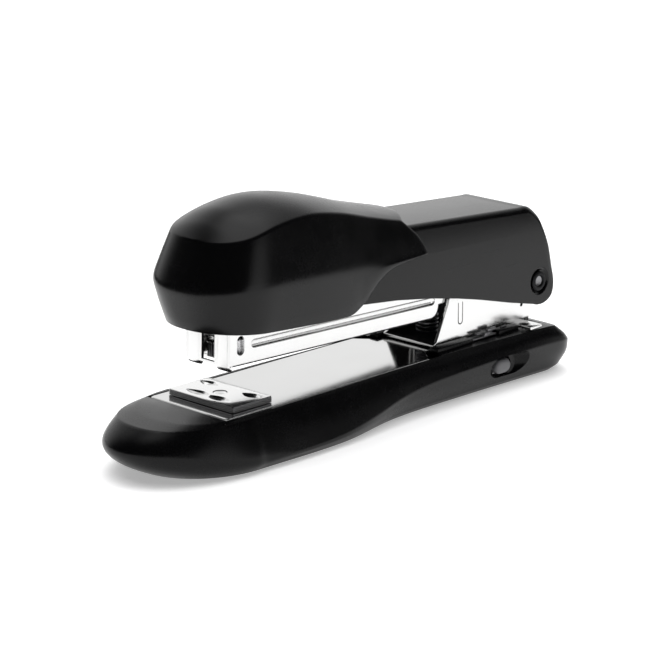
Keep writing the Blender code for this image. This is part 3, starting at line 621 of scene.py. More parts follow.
def finish_of(name):
    """The stapler's finishes, each made once."""
    if name not in FINISHES:
        look = bpy.context.scene.stapler_looks
        black, hood, paint = tuple(look.base_black), tuple(look.hood_black), tuple(look.arm_black)
        makers = {
            "base plastic": (moulded_plastic, black, look.base_roughness, 0.010, 0.18),
            "hood plastic": (moulded_plastic, hood, look.hood_roughness, 0.012),
            "pusher plastic": (moulded_plastic, black, 0.5),
            "button plastic": (moulded_plastic, tuple(look.button_grey), 0.38, 0.008),
            "arm enamel": (enamel, paint, look.arm_roughness),
            "plate steel": (plated_steel, tuple(0.78 * c for c in look.steel), 0.07, 0.4),
            "bright steel": (plated_steel, tuple(look.steel), look.steel_roughness, 0.4, 0.004),
            "anvil steel": (plated_steel, tuple(look.steel), 0.14, 0.5),
            # Painted shade: the anvil's sides get this darker steel instead of the top's bright plating.
            "anvil edge": (dark_steel, (0.22, 0.22, 0.225), 0.3),
            # Painted shade: this near-black steel darkens the insides of the bracket and magazine, the
            # magazine's downward folds and the plate behind the nose window; the pin wears it too.
            "inner steel": (dark_steel, (0.035, 0.035, 0.037), 0.5),
            "spring steel": (dark_steel, (0.30, 0.30, 0.31), 0.28),
            "staple wire": (plated_steel, (0.66, 0.66, 0.67), 0.22, 0.6),
            "pad rubber": (pad_rubber,),
            "studio card": (studio_card,),
        }
        maker, *settings = makers[name]
        FINISHES[name] = maker(name, *settings)
    return FINISHES[name]


# ================================================================ node groups that grow geometry
class Grower:
    """A Geometry Nodes tree under construction, with named inputs."""

    def __init__(self, name, **inputs):
        self.tree = bpy.data.node_groups.new(name, "GeometryNodeTree")
        self.tree.interface.new_socket("Geometry", in_out="OUTPUT", socket_type="NodeSocketGeometry")
        self.ids = {}
        for label, value in inputs.items():
            kind = "NodeSocketInt" if isinstance(value, int) else "NodeSocketFloat"
            socket = self.tree.interface.new_socket(label, in_out="INPUT", socket_type=kind)
            self.ids[label] = (socket.identifier, value)
        self.source = self.tree.nodes.new("NodeGroupInput")
        self.sink = self.tree.nodes.new("NodeGroupOutput")

    def value(self, label):
        return self.source.outputs[label]

    def add(self, kind, settings=None, **inputs):
        made = self.tree.nodes.new(kind)
        for key, value in (settings or {}).items():
            setattr(made, key, value)
        for key, value in inputs.items():
            socket = made.inputs[key.replace("_", " ")]
            if isinstance(value, bpy.types.NodeSocket):
                self.tree.links.new(value, socket)
            else:
                socket.default_value = value
        return made

    def number(self, operation, first, second):
        made = self.tree.nodes.new("ShaderNodeMath")
        made.operation = operation
        for socket, value in zip(made.inputs, (first, second)):
            if isinstance(value, bpy.types.NodeSocket):
                self.tree.links.new(value, socket)
            else:
                socket.default_value = value
        return made.outputs[0]

    def vector(self, x=0.0, y=0.0, z=0.0):
        return self.add("ShaderNodeCombineXYZ", X=x, Y=y, Z=z).outputs[0]

    def grow(self, result, finish):
        """Realizes the result, sets its finish and returns it as a plain mesh in the drawing's metres."""
        real = self.add("GeometryNodeRealizeInstances", Geometry=result)
        coated = self.add("GeometryNodeSetMaterial", Geometry=real.outputs[0], Material=finish)
        self.tree.links.new(coated.outputs[0], self.sink.inputs[0])
        thing = stand_in("grown", bpy.data.meshes.new("grown"))
        step = thing.modifiers.new("grow", "NODES")
        step.node_group = self.tree
        for identifier, value in self.ids.values():
            step[identifier] = value
        made = evaluated(thing)
        bpy.data.node_groups.remove(self.tree)
        return made


def sprung_wire(name, radius, wire, length, turns, finish, place):
    """A coiled spring about the Z axis of its place, from its foot up."""
    sizes = {"Radius": radius * MM, "Wire": wire * MM, "Length": length * MM, "Turns": float(turns)}
    grower = Grower("coil spring", **sizes)
    spiral = grower.add(
        "GeometryNodeCurveSpiral", Resolution=28, Rotations=grower.value("Turns"),
        Start_Radius=grower.value("Radius"), End_Radius=grower.value("Radius"), Height=grower.value("Length"),
    )
    section = grower.add("GeometryNodeCurvePrimitiveCircle", Resolution=10, Radius=grower.value("Wire"))
    tube = grower.add(
        "GeometryNodeCurveToMesh", Curve=spiral.outputs[0], Profile_Curve=section.outputs[0], Fill_Caps=True
    )
    made = grower.grow(tube.outputs[0], finish)
    made.transform(place)
    made.name = name
    return made


def staple_row(finish):
    """The strip of glued staples: flattened wire bent to a crown and two legs, repeated along U."""
    count = int((STRIP_REAR_U - STRIP_FRONT_U) / STAPLE["pitch"])
    low = MAG_BOTTOM_W + 0.6 + GAP
    grower = Grower(
        "staple row", Count=count, Pitch=STAPLE["pitch"] * MM, Crown=STAPLE["crown"] * MM,
        Leg=(STAPLE_TOP_W - low) * MM, Thick=STAPLE["thick"] * MM, Width=STAPLE["width"] * MM,
    )
    half = grower.number("MULTIPLY", grower.value("Crown"), 0.5)
    bars = []
    crown = grower.add(
        "GeometryNodeMeshCube",
        Size=grower.vector(grower.value("Width"), grower.value("Crown"), grower.value("Thick")),
    )
    crown_height = grower.number("MULTIPLY", grower.value("Thick"), -0.5)
    bars.append((crown, grower.vector(0.0, 0.0, crown_height)))
    drop = grower.number("MULTIPLY", grower.value("Leg"), -0.5)
    for sign in (-1, 1):
        leg = grower.add(
            "GeometryNodeMeshCube",
            Size=grower.vector(grower.value("Width"), grower.value("Thick"), grower.value("Leg")),
        )
        inset = grower.number("SUBTRACT", half, grower.number("MULTIPLY", grower.value("Thick"), 0.5))
        across = grower.number("MULTIPLY", inset, float(sign))
        bars.append((leg, grower.vector(0.0, across, drop)))
    together = grower.tree.nodes.new("GeometryNodeJoinGeometry")
    for bar, where in bars:
        moved = grower.add("GeometryNodeTransform", Geometry=bar.outputs[0], Translation=where)
        grower.tree.links.new(moved.outputs[0], together.inputs[0])
    row = grower.add(
        "GeometryNodeMeshLine", {"mode": "OFFSET"}, Count=grower.value("Count"),
        Offset=grower.vector(grower.value("Pitch"), 0.0, 0.0),
    )
    copies = grower.add("GeometryNodeInstanceOnPoints", Points=row.outputs[0], Instance=together.outputs[0])
    made = grower.grow(copies.outputs[0], finish)
    made.transform(at(STRIP_FRONT_U + 0.3, 0, STAPLE_TOP_W, MAGAZINE))
    return softened(made, 0.09, 1, 60)


def bar_row(name, count, step, size, start, place, finish):
    """Equal bars in a row: the step between them, the size of one and the middle of the first, in mm."""
    grower = Grower(
        "bar row", Count=count, Step_X=step[0] * MM, Step_Y=step[1] * MM,
        Length=size[0] * MM, Width=size[1] * MM, Height=size[2] * MM,
    )
    bar = grower.add(
        "GeometryNodeMeshCube",
        Size=grower.vector(grower.value("Length"), grower.value("Width"), grower.value("Height")),
    )
    row = grower.add(
        "GeometryNodeMeshLine", {"mode": "OFFSET"}, Count=grower.value("Count"),
        Offset=grower.vector(grower.value("Step_X"), grower.value("Step_Y"), 0.0),
    )
    copies = grower.add("GeometryNodeInstanceOnPoints", Points=row.outputs[0], Instance=bar.outputs[0])
    made = grower.grow(copies.outputs[0], finish)
    made.transform(at(*start, place))
    made.name = name
    return made


# ================================================================ base
def halfway(first, second, share, spread):
    """A line between two others, pushed outwards."""
    return [(x, half + (along(second, x) - half) * share + spread) for x, half in first]


def crease_z(x):
    return along(CREASE_HEIGHT, x)


def heel_drop(x):
    return max(0.0, x - HEEL_DROP_X) ** 2 * 0.024


def base_levels():
    """The housing's seven levels: half width line, toe and heel tips, toe's power, height, widening."""
    sole_z = UNDERSIDE_Z + 1.0
    facet = halfway(SOLE_HALF, CREASE_HALF, 0.55, 0.2)
    wall = halfway(CREASE_HALF, RIM_HALF, 0.5, 0.25)
    return [
        (SOLE_HALF, -65.9, 66.0, 2.0, lambda x: UNDERSIDE_Z, -1.0),
        (SOLE_HALF, -68.0, 69.6, 2.0, lambda x: sole_z, 0.0),
        (facet, -73.2, 70.9, 2.0, lambda x: (sole_z + crease_z(x)) / 2, 0.0),
        (CREASE_HALF, -75.6, 69.4, 2.0, crease_z, 0.0),
        (wall, -73.5, 67.4, 2.2, lambda x: crease_z(x) * 0.45 + DECK_Z * 0.55 - heel_drop(x) * 0.8, 0.0),
        (RIM_HALF, -69.4, 64.2, 2.5, lambda x: DECK_Z - 0.6 - heel_drop(x), 0.2),
        (RIM_HALF, -63.4, 62.6, 2.5, lambda x: DECK_Z - heel_drop(x), -0.4),
    ]


def base_stations():
    """Points of every level from the toe's tip round the side to the heel's, as columns."""
    rows = []
    for line, toe_x, heel_x, power, height_at, widen in base_levels():
        toe = quarter(TOE_X, toe_x - TOE_X, along(line, TOE_X) + widen, power, 26)
        heel = quarter(HEEL_X, heel_x - HEEL_X, along(line, HEEL_X) + widen, 3.0, 18)
        steps = 56
        side = []
        for i in range(steps + 1):
            x = TOE_X + (HEEL_X - TOE_X) * i / steps
            side.append((x, along(line, x) + widen))
        rows.append([(x, y, height_at(x)) for x, y in toe[::-1] + side + heel])
    return list(zip(*rows))


def base_shell():
    """The housing's outer form: a smooth wall above and below a crease that fades round the toe."""
    columns = []
    for column in base_stations():
        line = rounded(column, {1: 0.5, 3: 0.3, 5: 0.5}, 4, 5)
        fade = min(1.0, max(0.0, (-36.0 - column[3][0]) / 18.0))
        columns.append(filled_out(relaxed(line, fade, 2, -7), line))
    loops = []
    for r in range(len(columns[0])):
        side = [column[r] for column in columns]
        loops.append([(p.x, -p.y, p.z) for p in side] + [(p.x, p.y, p.z) for p in reversed(side)])
    count = len(loops[0])
    points = [p for loop in loops for p in loop]
    faces = []
    for r in range(len(loops) - 1):
        for i in range(count):
            a, b = r * count + i, r * count + (i + 1) % count
            faces.append((a, b, b + count, a + count))
    for start in (0, (len(loops) - 1) * count):
        for i in range(count // 2 - 1):
            a, b = start + i, start + i + 1
            faces.append((a, b, start + count - 2 - i, start + count - 1 - i))
    return closed_mesh("base_shell", points, faces)


def pad_outline(pad, spread, round_r=2.5):
    """A foot pad's round-cornered outline, widened by spread."""
    low = pad["x"] - pad["length"] / 2 + round_r
    high = pad["x"] + pad["length"] / 2 - round_r
    side = pad["half"] - round_r
    r = round_r + spread
    return (
        arc((high, side), r, 0, 90, 10) + arc((low, side), r, 90, 180, 10)
        + arc((low, -side), r, 180, 270, 10) + arc((high, -side), r, 270, 360, 10)
    )


def make_base():
    wide, tail = PLATE["half"] + GAP, PLATE["tail"] + GAP
    rail, rear = COVER_HALF + GAP, COVER_REAR_X + GAP
    front = PLATE["front"] - GAP
    outline = [(front, -wide), (tail, -wide), (tail, -rail), (rear, -rail)]
    outline += [(x, -y) for x, y in reversed(outline)]
    cutters = [
        prism_z("deck_recess", outline, DECK_Z - PLATE["sheet"] - GAP, 20),
        turned("anvil_pocket", [(8.0, DECK_Z - 5.1), (8.0, DECK_Z)], at(ANVIL_X)),
        prism_z("front_pad_seat", pad_outline(FRONT_PAD, GAP), -1, PAD_SEAT_Z),
        prism_z("rear_pad_seat", pad_outline(REAR_PAD, GAP), -1, PAD_SEAT_Z),
    ]
    ribs = []
    for k, (x0, x1) in enumerate(HOLLOW_SPANS):
        half0, half1 = (along(SOLE_HALF, x) - 3.2 for x in (x0, x1))
        hollow = [(x0, -half0), (x1, -half1), (x1, half1), (x0, half0)]
        cutters.append(softened(prism_z("hollow", hollow, -1, 9.6), 1.0, 3, 60))
        gap, width = (x1 - x0) / 4, 2 * min(half0, half1) - 0.1
        size, start = (1.0, width, 1.6), (x0 + gap, 0, 9.1)
        ribs.append(bar_row(f"ribs_{k}", 3, (gap, 0), size, start, LEVEL, finish_of("base plastic")))
    for sign in (-1, 1):
        cutters.append(block("button_hollow", (31, 52), sorted((sign * 4.0, sign * 11.3)), (-1, 9.8)))
        cutters.append(button_dish(sign))
        hole = oval(BUTTON["length"] + 1.5, BUTTON["height"] + 1.4, (BUTTON["x"], BUTTON["z"]), 20)
        cutters.append(prism_y("button_opening", hole, *sorted((sign * 11.0, sign * 19))))
    for x in SCREW_XS:
        cutters.append(turned("screw_bore", [(3.1, -1), (3.1, 5.0), (1.9, 5.0), (1.9, 13.0)], at(x), 48))
    shell = carved(base_shell(), cutters)
    shell = joined("base_shell", shell, *ribs)
    shell.materials.clear()
    show("base_shell", shell, "base", [finish_of("base plastic")], ["base_housing"], 28)


def button_dish(sign):
    """The oval dish round a side button, wide at the mouth and drafted inwards."""
    loops = []
    for y, length, height in ((18.6, 17.8, 8.0), (17.2, 16.2, 7.0), (16.3, 15.0, 6.4), (15.5, 13.6, 5.9),
                              (14.8, 12.0, 5.5), (14.2, 10.4, 5.2), (13.8, 9.0, 5.0)):
        outline = oval(length, height, (BUTTON["x"] + 0.8, BUTTON["z"]), 24)
        loops.append([(x, sign * y, z) for x, z in outline])
    return lofted("button_dish", loops)


def make_bracket():
    low = DECK_Z + GAP
    px, pz = PIN_X, PIN.z / MM
    top = (BRACKET_FRONT_X + 4.4, pz + 0.1)
    profile = [(BRACKET_FLOOR_X, low), (BRACKET_REAR_X - 2.2, low), (BRACKET_REAR_X - 0.4, low + 3.8)]
    profile += arc((px, pz), 5.6, -30, 100, 24)
    profile += arc((top[0] + 2.0, top[1]), 2.0, 90, 180, 8)
    profile += [(BRACKET_FRONT_X, low + 1.4), (BRACKET_FLOOR_X, low + BRACKET_SHEET)]
    inner = BRACKET_HALF - BRACKET_SHEET
    floor = low + BRACKET_SHEET
    outer = softened(prism_y("bracket", profile, -BRACKET_HALF, BRACKET_HALF), 0.22, 3, 50)
    feet = softened(block("feet", (51.6, 56.2), (-15.2, 15.2), (low, floor)), 0.2, 2, 50)
    cutters = [
        block("hollow", (10, 80), (-inner, inner), (floor, 60)),
        turned("pin_hole", [(PIN_R + RUNNING, -20), (PIN_R + RUNNING, 20)], at(px, 0, pz) @ ALONG_Y),
    ]
    for x in SCREW_XS:
        cutters.append(turned("screw_hole", [(1.9, 0), (1.9, 20)], at(x), 40))
    for sign in (-1, 1):
        cutters.append(turned("foot_hole", [(1.3, 0), (1.3, 20)], at(52.9, sign * 11.9), 40))
        through = sorted((sign * 7, sign * 10))
        for x in (SLIT_X, SLIT_X + SLIT_STEP):
            cutters.append(block("tab_slit", (x, x + SLIT_WIDE), through, (SLIT_FOOT, SLIT_TOP)))
        wide = (SLIT_STEP + SLIT_WIDE) / 2
        centre = (SLIT_X + wide, SLIT_FOOT)
        foot = arc(centre, wide, 180, 360, 12) + arc(centre, wide - SLIT_WIDE, 360, 180, 12)
        cutters.append(prism_y("tab_foot", foot, *through))
        cutters.append(turned("notch", [(0.55, -20), (0.55, 20)], at(55.6, 0, 18.4) @ ALONG_Y, 24))
    mesh = carved(outer, cutters, [feet])
    mesh.materials.clear()
    for finish in ("bright steel", "inner steel"):
        mesh.materials.append(finish_of(finish))
    limit = (inner + 0.05) * MM

    def inward(face):
        turned_in = face.normal.y * face.center.y < 0 and abs(face.normal.y) > 0.9
        on_floor = face.normal.z > 0.9 and face.center.z < (floor + 0.1) * MM
        return abs(face.center.y) < limit and (turned_in or on_floor)

    # Painted shade: the inward walls and floor of the bracket's channel get the near-black steel, darkening
    # the hollow.
    paint_faces(mesh, 1, inward)
    show("bracket_sheet", mesh, "base", [], ["bracket"], 30)


def make_base_fittings():
    """Plate, cover, clips, screws, pads and catches: the plate given its finish, the rest copies of the plain
    parts, most with their edges rounded.
    """
    plain = frame["nodes"]["base_plate"].data
    plain.materials.clear()
    plain.materials.append(finish_of("plate steel"))
    for node, slot, finish, width in (
        ("deck_cover", "base_plastic", "base plastic", 0.25),
        ("latch_clip_left", "spring_steel", "spring steel", 0.12),
        ("latch_clip_right", "spring_steel", "spring steel", 0.12),
        ("base_screw_front", "spring_steel", "spring steel", 0.12),
        ("base_screw_rear", "spring_steel", "spring steel", 0.12),
        ("front_pad", "pad_rubber", "pad rubber", 0.0),
        ("rear_pad", "pad_rubber", "pad rubber", 0.0),
    ):
        show(f"{node}_finished", node_copy(node, width), "base", [finish_of(finish)], [node])
    rail_marks()


def rail_marks():
    """The small catches beside the bracket, on both sides of the deck."""
    pieces = []
    for sign in (-1, 1):
        low = DECK_Z + 1.1
        for x, length, across, wide, tall in (
            (36.2, 2.6, 10.1, 0.9, 0.5), (40.4, 3.2, 10.2, 0.8, 0.9), (46.0, 2.2, 9.9, 0.6, 0.35),
        ):
            spread = sorted((sign * (across - wide / 2), sign * (across + wide / 2)))
            catch = block("catch", (x, x + length), spread, (low + 0.02, low + tall))
            pieces.append(softened(catch, 0.15, 2, 60))
    mesh = joined("deck_catches", *pieces)
    mesh.materials.clear()
    show("deck_catches", mesh, "base", [finish_of("spring steel")])


def make_lift_spring():
    foot = at(29.0, 0, DECK_Z + 1.95)
    coil = sprung_wire("lift_coil", 2.6, 0.35, 5.2, 5, finish_of("spring steel"), foot)
    show("lift_coil", coil, "base", [], ["lift_spring"])


# ================================================================ anvil
def lens_cut(x, y, length, width, depth, top):
    """A shallow pressed pocket, pointed at both ends, along Y and open upwards."""
    steps = 20
    loops = []
    for i in range(1, steps):
        v = length * (i / steps - 0.5)
        full = math.cos(math.pi * v / length)
        half, deep = width / 2 * full, depth * full
        side = [(half * 0.72, -deep * 0.62), (half, 0.0), (half * 1.15, 0.5)]
        section = [(-a, b) for a, b in reversed(side)] + [(0, -deep)] + side
        loops.append([(x + a, y + v, top + b) for a, b in section])
    return lofted("clinch_pocket", loops, at(ANVIL_X))


def make_anvil():
    low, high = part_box("anvil")
    half_x, half_y = (high.x - low.x) / 2 / MM, (high.y - low.y) / 2 / MM
    z0, z1 = low.z / MM - 0.2, high.z / MM
    heights = [(0.0, 0.25), (0.1, 0.02), (0.42, 0.0), (0.55, 0.16), (0.68, 0.0), (1.0, 0.0), (1.12, 0.14),
               (1.24, 0.0), (1.55, 0.0), (1.66, 0.12), (1.78, 0.0), (1.9, 0.04), (2.0, 0.16)]
    share = (z1 - z0) / heights[-1][0]
    loops = []
    for rise, inset in heights:
        x, y, r = half_x - inset, half_y - inset, 0.45
        outline = (
            arc((x - r, y - r), r, 0, 90, 4) + arc((-x + r, y - r), r, 90, 180, 4)
            + arc((-x + r, -y + r), r, 180, 270, 4) + arc((x - r, -y + r), r, 270, 360, 4)
        )
        loops.append([(a, b, z0 + rise * share) for a, b in outline])
    cutters = [turned("rivet_seat", [(1.75, 0), (1.75, 20)], at(ANVIL_X), 48)]
    for x, y, length in ((-3.7, 3.4, 9.0), (-3.7, -3.4, 9.0), (3.2, 7.2, 6.4), (3.2, -7.2, 6.4)):
        cutters.append(lens_cut(x, y, length, 3.0, 0.85, z1))
    mesh = carved(lofted("anvil", loops, at(ANVIL_X)), cutters)
    mesh.materials.clear()
    for finish in ("anvil steel", "anvil edge"):
        mesh.materials.append(finish_of(finish))
    # Painted shade: faces turned less than half upwards, the anvil's sides, get the darker steel.
    paint_faces(mesh, 1, lambda face: face.normal.z < 0.45 and face.center.z < (z1 - 0.05) * MM)
    show("anvil_block", mesh, "anvil_turntable", [], ["anvil"], 28)
    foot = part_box("anvil_rivet")[0].z / MM
    profile = [
        (0.02, foot), (2.75, foot), (2.9, foot + 0.15), (2.9, foot + 0.7), (1.3, foot + 0.7),
        (1.3, z1 - 0.55), (1.66, z1 - 0.5), (1.7, z1 - 0.3), (1.55, z1 - 0.16), (1.1, z1 - 0.24),
        (0.5, z1 - 0.34), (0.02, z1 - 0.36),
    ]
    rivet = turned("anvil_rivet_turned", profile, at(ANVIL_X), 48)
    bright, dark = [finish_of("anvil steel")], [finish_of("spring steel")]
    show("anvil_rivet_turned", rivet, "anvil_turntable", bright, ["anvil_rivet"])
    show("anvil_spring_washer", node_copy("anvil_spring"), "base", dark, ["anvil_spring"])


# ================================================================ buttons
def make_buttons():
    for side, sign in (("left", -1), ("right", 1)):
        body = f"button_{side}"
        loops = []
        centre = (BUTTON["x"], BUTTON["z"])
        for inset, y in BUTTON_DOME:
            outline = oval(BUTTON["length"] - 2 * inset, BUTTON["height"] - 2 * inset, centre)
            loops.append([(x, sign * y, z) for x, z in outline])
        flange = oval(8.0, 5.4, centre)
        loops.append([(x, sign * 10.8, z) for x, z in flange])
        loops.append([(x, sign * 9.8, z) for x, z in flange])
        key = lofted(f"{body}_key", loops)
        finish = finish_of("button plastic")
        show(f"{body}_key", key, body, [finish], [f"release_button_{side}"])
        start = at(BUTTON["x"], sign * 4.6, BUTTON["z"]) @ Matrix.Rotation(math.radians(-90 * sign), 4, "X")
        coil = sprung_wire(f"{body}_coil", 1.6, 0.28, 4.5, 4, finish_of("spring steel"), start)
        thing = show(f"{body}_coil", coil, "base", [], [f"button_spring_{side}"])
        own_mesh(thing)


# ================================================================ magazine
def fold_edges(form, width, segments, chosen):
    """Rounds the edges of a bmesh that chosen(first, second) picks by their end points."""
    edges = [e for e in form.edges if chosen(e.verts[0].co, e.verts[1].co)]
    bmesh.ops.bevel(form, geom=edges, offset=width * MM, segments=segments, profile=0.5, affect="EDGES")


def make_magazine():
    u0, bottom, top, half = MAG_FRONT_U, MAG_BOTTOM_W, MAG_TOP_W, MAG_HALF
    floor = bottom + 0.6
    profile = [(u0, bottom)] + arc((MAG_STEP_U - 3.2, bottom + 3.2), 3.2, -90, 0, 10)
    profile += [(-8, -1.6)] + arc((0, 0), top, -60, 90, 24) + [(u0, top)]
    level = Matrix.Identity(4)
    form = bmesh.new()
    form.from_mesh(prism_y("magazine", profile, -half, half, level))

    def below(a, b):
        return abs(a.y - b.y) < 1e-6 and a.z < -1.5 * MM and b.z < -1.5 * MM

    fold_edges(form, 0.7, 4, below)
    channel = emptied("magazine", form)
    channel.transform(MAGAZINE)
    inner = half - 0.8
    hollow = [(u0 + 0.8, floor), (-37.4, floor), (-34.4, -0.4), (-6, 0), (8, 0), (8, 30), (u0 + 0.8, 30)]
    place = MAGAZINE
    cutters = [
        prism_y("hollow", hollow, -inner, inner, place),
        block("rear_hollow", (-5, 8), (-inner, inner), (-8, 8), place),
        block("nose_window", (u0 - 3, u0 + 2), (-2.2, 2.2), (-4.2, 2.5), place),
        block("staple_exit", (u0 + 0.8, STRIP_FRONT_U + 0.8), (-inner, inner), (-9, -3), place),
        turned("pin_hole", [(PIN_R + RUNNING, -20), (PIN_R + RUNNING, 20)], place @ ALONG_Y),
    ]
    slot = arc((-103.0, 0.15 + 1.15), 1.2, 0, 180, 16) + arc((-103.0, 0.15 - 1.15), 1.2, 180, 360, 16)
    cutters.append(prism_y("side_slots", slot, -20, 20, place))
    for sign in (-1, 1):
        cutters.append(pressed_groove(sign))
    columns = [nose_column(sign) for sign in (-1, 1)]
    mesh = carved(channel, cutters, columns)
    mesh.materials.clear()
    for finish in ("bright steel", "inner steel"):
        mesh.materials.append(finish_of(finish))
    ready = MAGAZINE.inverted()

    def inside(face):
        spot = ready @ face.center
        turned_in = face.normal.y * face.center.y < 0 and abs(face.normal.y) > 0.9
        return abs(spot.y) < (inner + 0.05) * MM and turned_in and spot.z > floor * MM and spot.x < -40 * MM

    def underneath(face):
        return face.normal.z < -0.3 and (ready @ face.center).z < -3.9 * MM

    # Painted shade: the channel's inner walls and the downward folds under it get the near-black steel
    # instead of reflecting the bright plate.
    paint_faces(mesh, 1, lambda face: inside(face) or underneath(face))
    show("magazine_sheet", mesh, "magazine", [], ["magazine_channel"], 30)
    for node, finish, slot_name, width in (
        ("staple_rail", "bright steel", "bright_steel", 0.15),
        ("follower_rod", "spring steel", "spring_steel", 0.0),
        ("return_spring", "spring steel", "spring_steel", 0.12),
        ("spring_bridge", "spring steel", "spring_steel", 0.1),
    ):
        piece = node_copy(node, width)
        show(f"{node}_finished", piece, "magazine", [finish_of(finish)], [node])
    show("staples", staple_row(finish_of("staple wire")), "magazine", [], ["staple_strip"], 30)
    # Painted shade: a near-black plate behind the nose window, so the opening reads dark.
    back = block("rail_nose", (-103.9, -103.55), (-2.7, 2.7), (-4.1, -0.2), MAGAZINE)
    show("rail_nose", back, "magazine", [finish_of("inner steel")])
    size, start = (0.3, 0.3, 3.0), (-104.05, -1.8, -2.4)
    teeth = bar_row("rail_teeth", 6, (0, 0.72), size, start, MAGAZINE, finish_of("spring steel"))
    lip = block("rail_lip", (-104.2, -103.9), (-2.7, 2.7), (-0.75, -0.45), MAGAZINE)
    lip.materials.append(finish_of("bright steel"))
    show("rail_teeth", teeth, "magazine", [finish_of("spring steel")])
    show("rail_lip", lip, "magazine", [])


def pressed_groove(sign):
    """The long groove pressed in a side wall: a shallow half-round trough with round ends."""
    u0, u1 = GROOVE["front"], GROOVE["rear"]
    radius, depth = GROOVE["radius"], GROOVE["depth"]
    loops = []
    steps = 10
    for k in range(steps + 1):
        t = math.radians(180 * k / steps)
        lift = radius * math.cos(t)
        bite = depth * math.sin(t)
        loops.append((lift, bite))
    section = [(w, MAG_HALF - b) for w, b in loops] + [(-radius, MAG_HALF + 1), (radius, MAG_HALF + 1)]
    stations = []
    for u, share in ((u0, 0.2), (u0 + 0.2, 0.58), (u0 + 0.5, 0.84), (u0 + 0.8, 0.96), (u0 + 1.1, 1.0),
                     (u1 - 1.1, 1.0), (u1 - 0.8, 0.96), (u1 - 0.5, 0.84), (u1 - 0.2, 0.58), (u1, 0.2)):
        stations.append([
            (u, sign * (MAG_HALF - (MAG_HALF - y) * (share if y < MAG_HALF else 1)), w * share)
            for w, y in section
        ])
    return lofted("pressed_groove", stations, MAGAZINE)


def nose_column(sign):
    """One of the two rounded columns of the nose, its foot drawn in."""
    bottom, top = MAG_BOTTOM_W - 1.0, MAG_TOP_W
    loops = []
    levels = (bottom, 0.55), (bottom + 0.15, 0.3), (bottom + 0.5, 0.08), (bottom + 1.0, 0.0), (top, 0.0)
    for w, inset in levels:
        reach, half = 0.9 - inset, 2.6 - inset
        section = []
        for k in range(17):
            t = math.pi * (k / 16 - 0.5)
            section.append((MAG_FRONT_U + 0.7 - reach * math.cos(t), sign * 4.9 + half * math.sin(t), w))
        loops.append(section)
    return lofted("nose_column", loops, MAGAZINE)


def make_pusher():
    show("pusher_block", node_copy("pusher", 0.3, 3), "pusher_slider",
         [finish_of("pusher plastic")], ["pusher"])
    low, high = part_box("pusher_spring")
    length = (high.x - low.x) / MM - 0.4
    rear = at(-41.7, 0, -2.0, MAGAZINE)
    back = rear @ Matrix.Rotation(math.radians(-90), 4, "Y")
    coil = sprung_wire("pusher_coil", 1.45, 0.2, length, 14, finish_of("spring steel"), back)
    thing = show("pusher_coil", coil, "magazine", [], ["pusher_spring"])
    travel = JOINTS["pusher_slide"]["range_m"][1] / MM
    (length - travel) / length
    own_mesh(thing)


# ================================================================ handle
def arm_profile(inset):
    """Side view of the arm; inset by its sheet it is the hollow, which runs out below."""
    t = inset
    front, top = ARM_FRONT_U + t, ARM_TOP_W - t
    knee = [
        (-9 - t, top), (-5.2 - t, top - 0.15), (-1.3 - t, 17.1 - t), (1.2 - t, 13.8), (3.6 - t, 9.4),
        (5.3 - t, 4.2),
    ]
    back = [(p.x, p.y) for p in spline([Vector((*p, 0)) for p in knee], 6)]
    if inset:
        return [(front, top)] + back[:-7] + [(9, 9.4), (9, -9), (-30, -9), (front, -4)]
    heel = []
    for k in range(25):
        turn = 10 - 5 * k
        radius = HEEL_R + 0.45 * math.exp(-(((turn + 42) / 32) ** 2))
        heel += arc((0, 0), radius, turn, turn, 1)[:1]
    return [(front, top)] + back + heel + ARM_LOWER + [(-97, 10.5), (front, 10.5)]


def drawn_in(profile, amounts):
    """The closed profile with each corner moved inwards by its own amount."""
    count = len(profile)
    ends = [(profile[i], profile[(i + 1) % count]) for i in range(count)]
    area = sum(a[0] * b[1] - b[0] * a[1] for a, b in ends)
    side = 1 if area > 0 else -1
    moved = []
    for i, amount in enumerate(amounts):
        here = Vector(profile[i])
        one = (here - Vector(profile[i - 1])).normalized()
        two = (Vector(profile[(i + 1) % count]) - here).normalized()
        inward = Vector((-one.y - two.y, one.x + two.x)) * side
        reach = inward.length_squared / 2
        moved.append(tuple(here + inward * (amount / max(reach, 0.3))))
    return moved


def arm_form():
    """The arm's outer form: its side view lofted across, with the top and rear edges rounded."""
    profile = arm_profile(0.0)
    shares = []
    for u, w in profile:
        shares.append(1.0 if w > 4 else max(0.0, min(1.0, (w + 4) / 8)) if u > 0 else 0.0)
    shares[-2:] = [0.0, 0.0]
    loops = []
    for k in range(9):
        turn = math.radians(90 * k / 8)
        drop, reach = ARM_EDGE * (1 - math.sin(turn)), ARM_EDGE * (1 - math.cos(turn))
        line = drawn_in(profile, [share * drop for share in shares])
        loops.append([(u, reach - ARM_HALF, w) for u, w in line])
    loops += [[(u, -y, w) for u, y, w in loop] for loop in reversed(loops)]
    return lofted("arm", loops, HANDLE)


def make_arm():
    inner = ARM_HALF - ARM_SHEET
    cutters = [prism_y("arm_hollow", arm_profile(ARM_SHEET), -inner, inner, HANDLE)]
    dishes = []
    for sign in (-1, 1):
        side = HANDLE @ Matrix.Rotation(math.radians(-90 * sign), 4, "X")
        cutters.append(turned("dish_hole", [(DISH_R, ARM_HALF - 1.6), (DISH_R, ARM_HALF + 2)], side, 64))
        bore = [(BLADE_RIVET_R, -110), (BLADE_RIVET_R, -100)]
        cutters.append(turned("rivet_hole", bore, at(0, sign * 4.0, 15.0, HANDLE) @ ALONG_X, 32))
        dishes.append(pivot_dish(side))
    mesh = joined("arm_sheet", carved(arm_form(), cutters), *dishes)
    mesh.materials.clear()
    show("arm_sheet", mesh, "handle", [finish_of("arm enamel")], ["handle_arm"], 30)


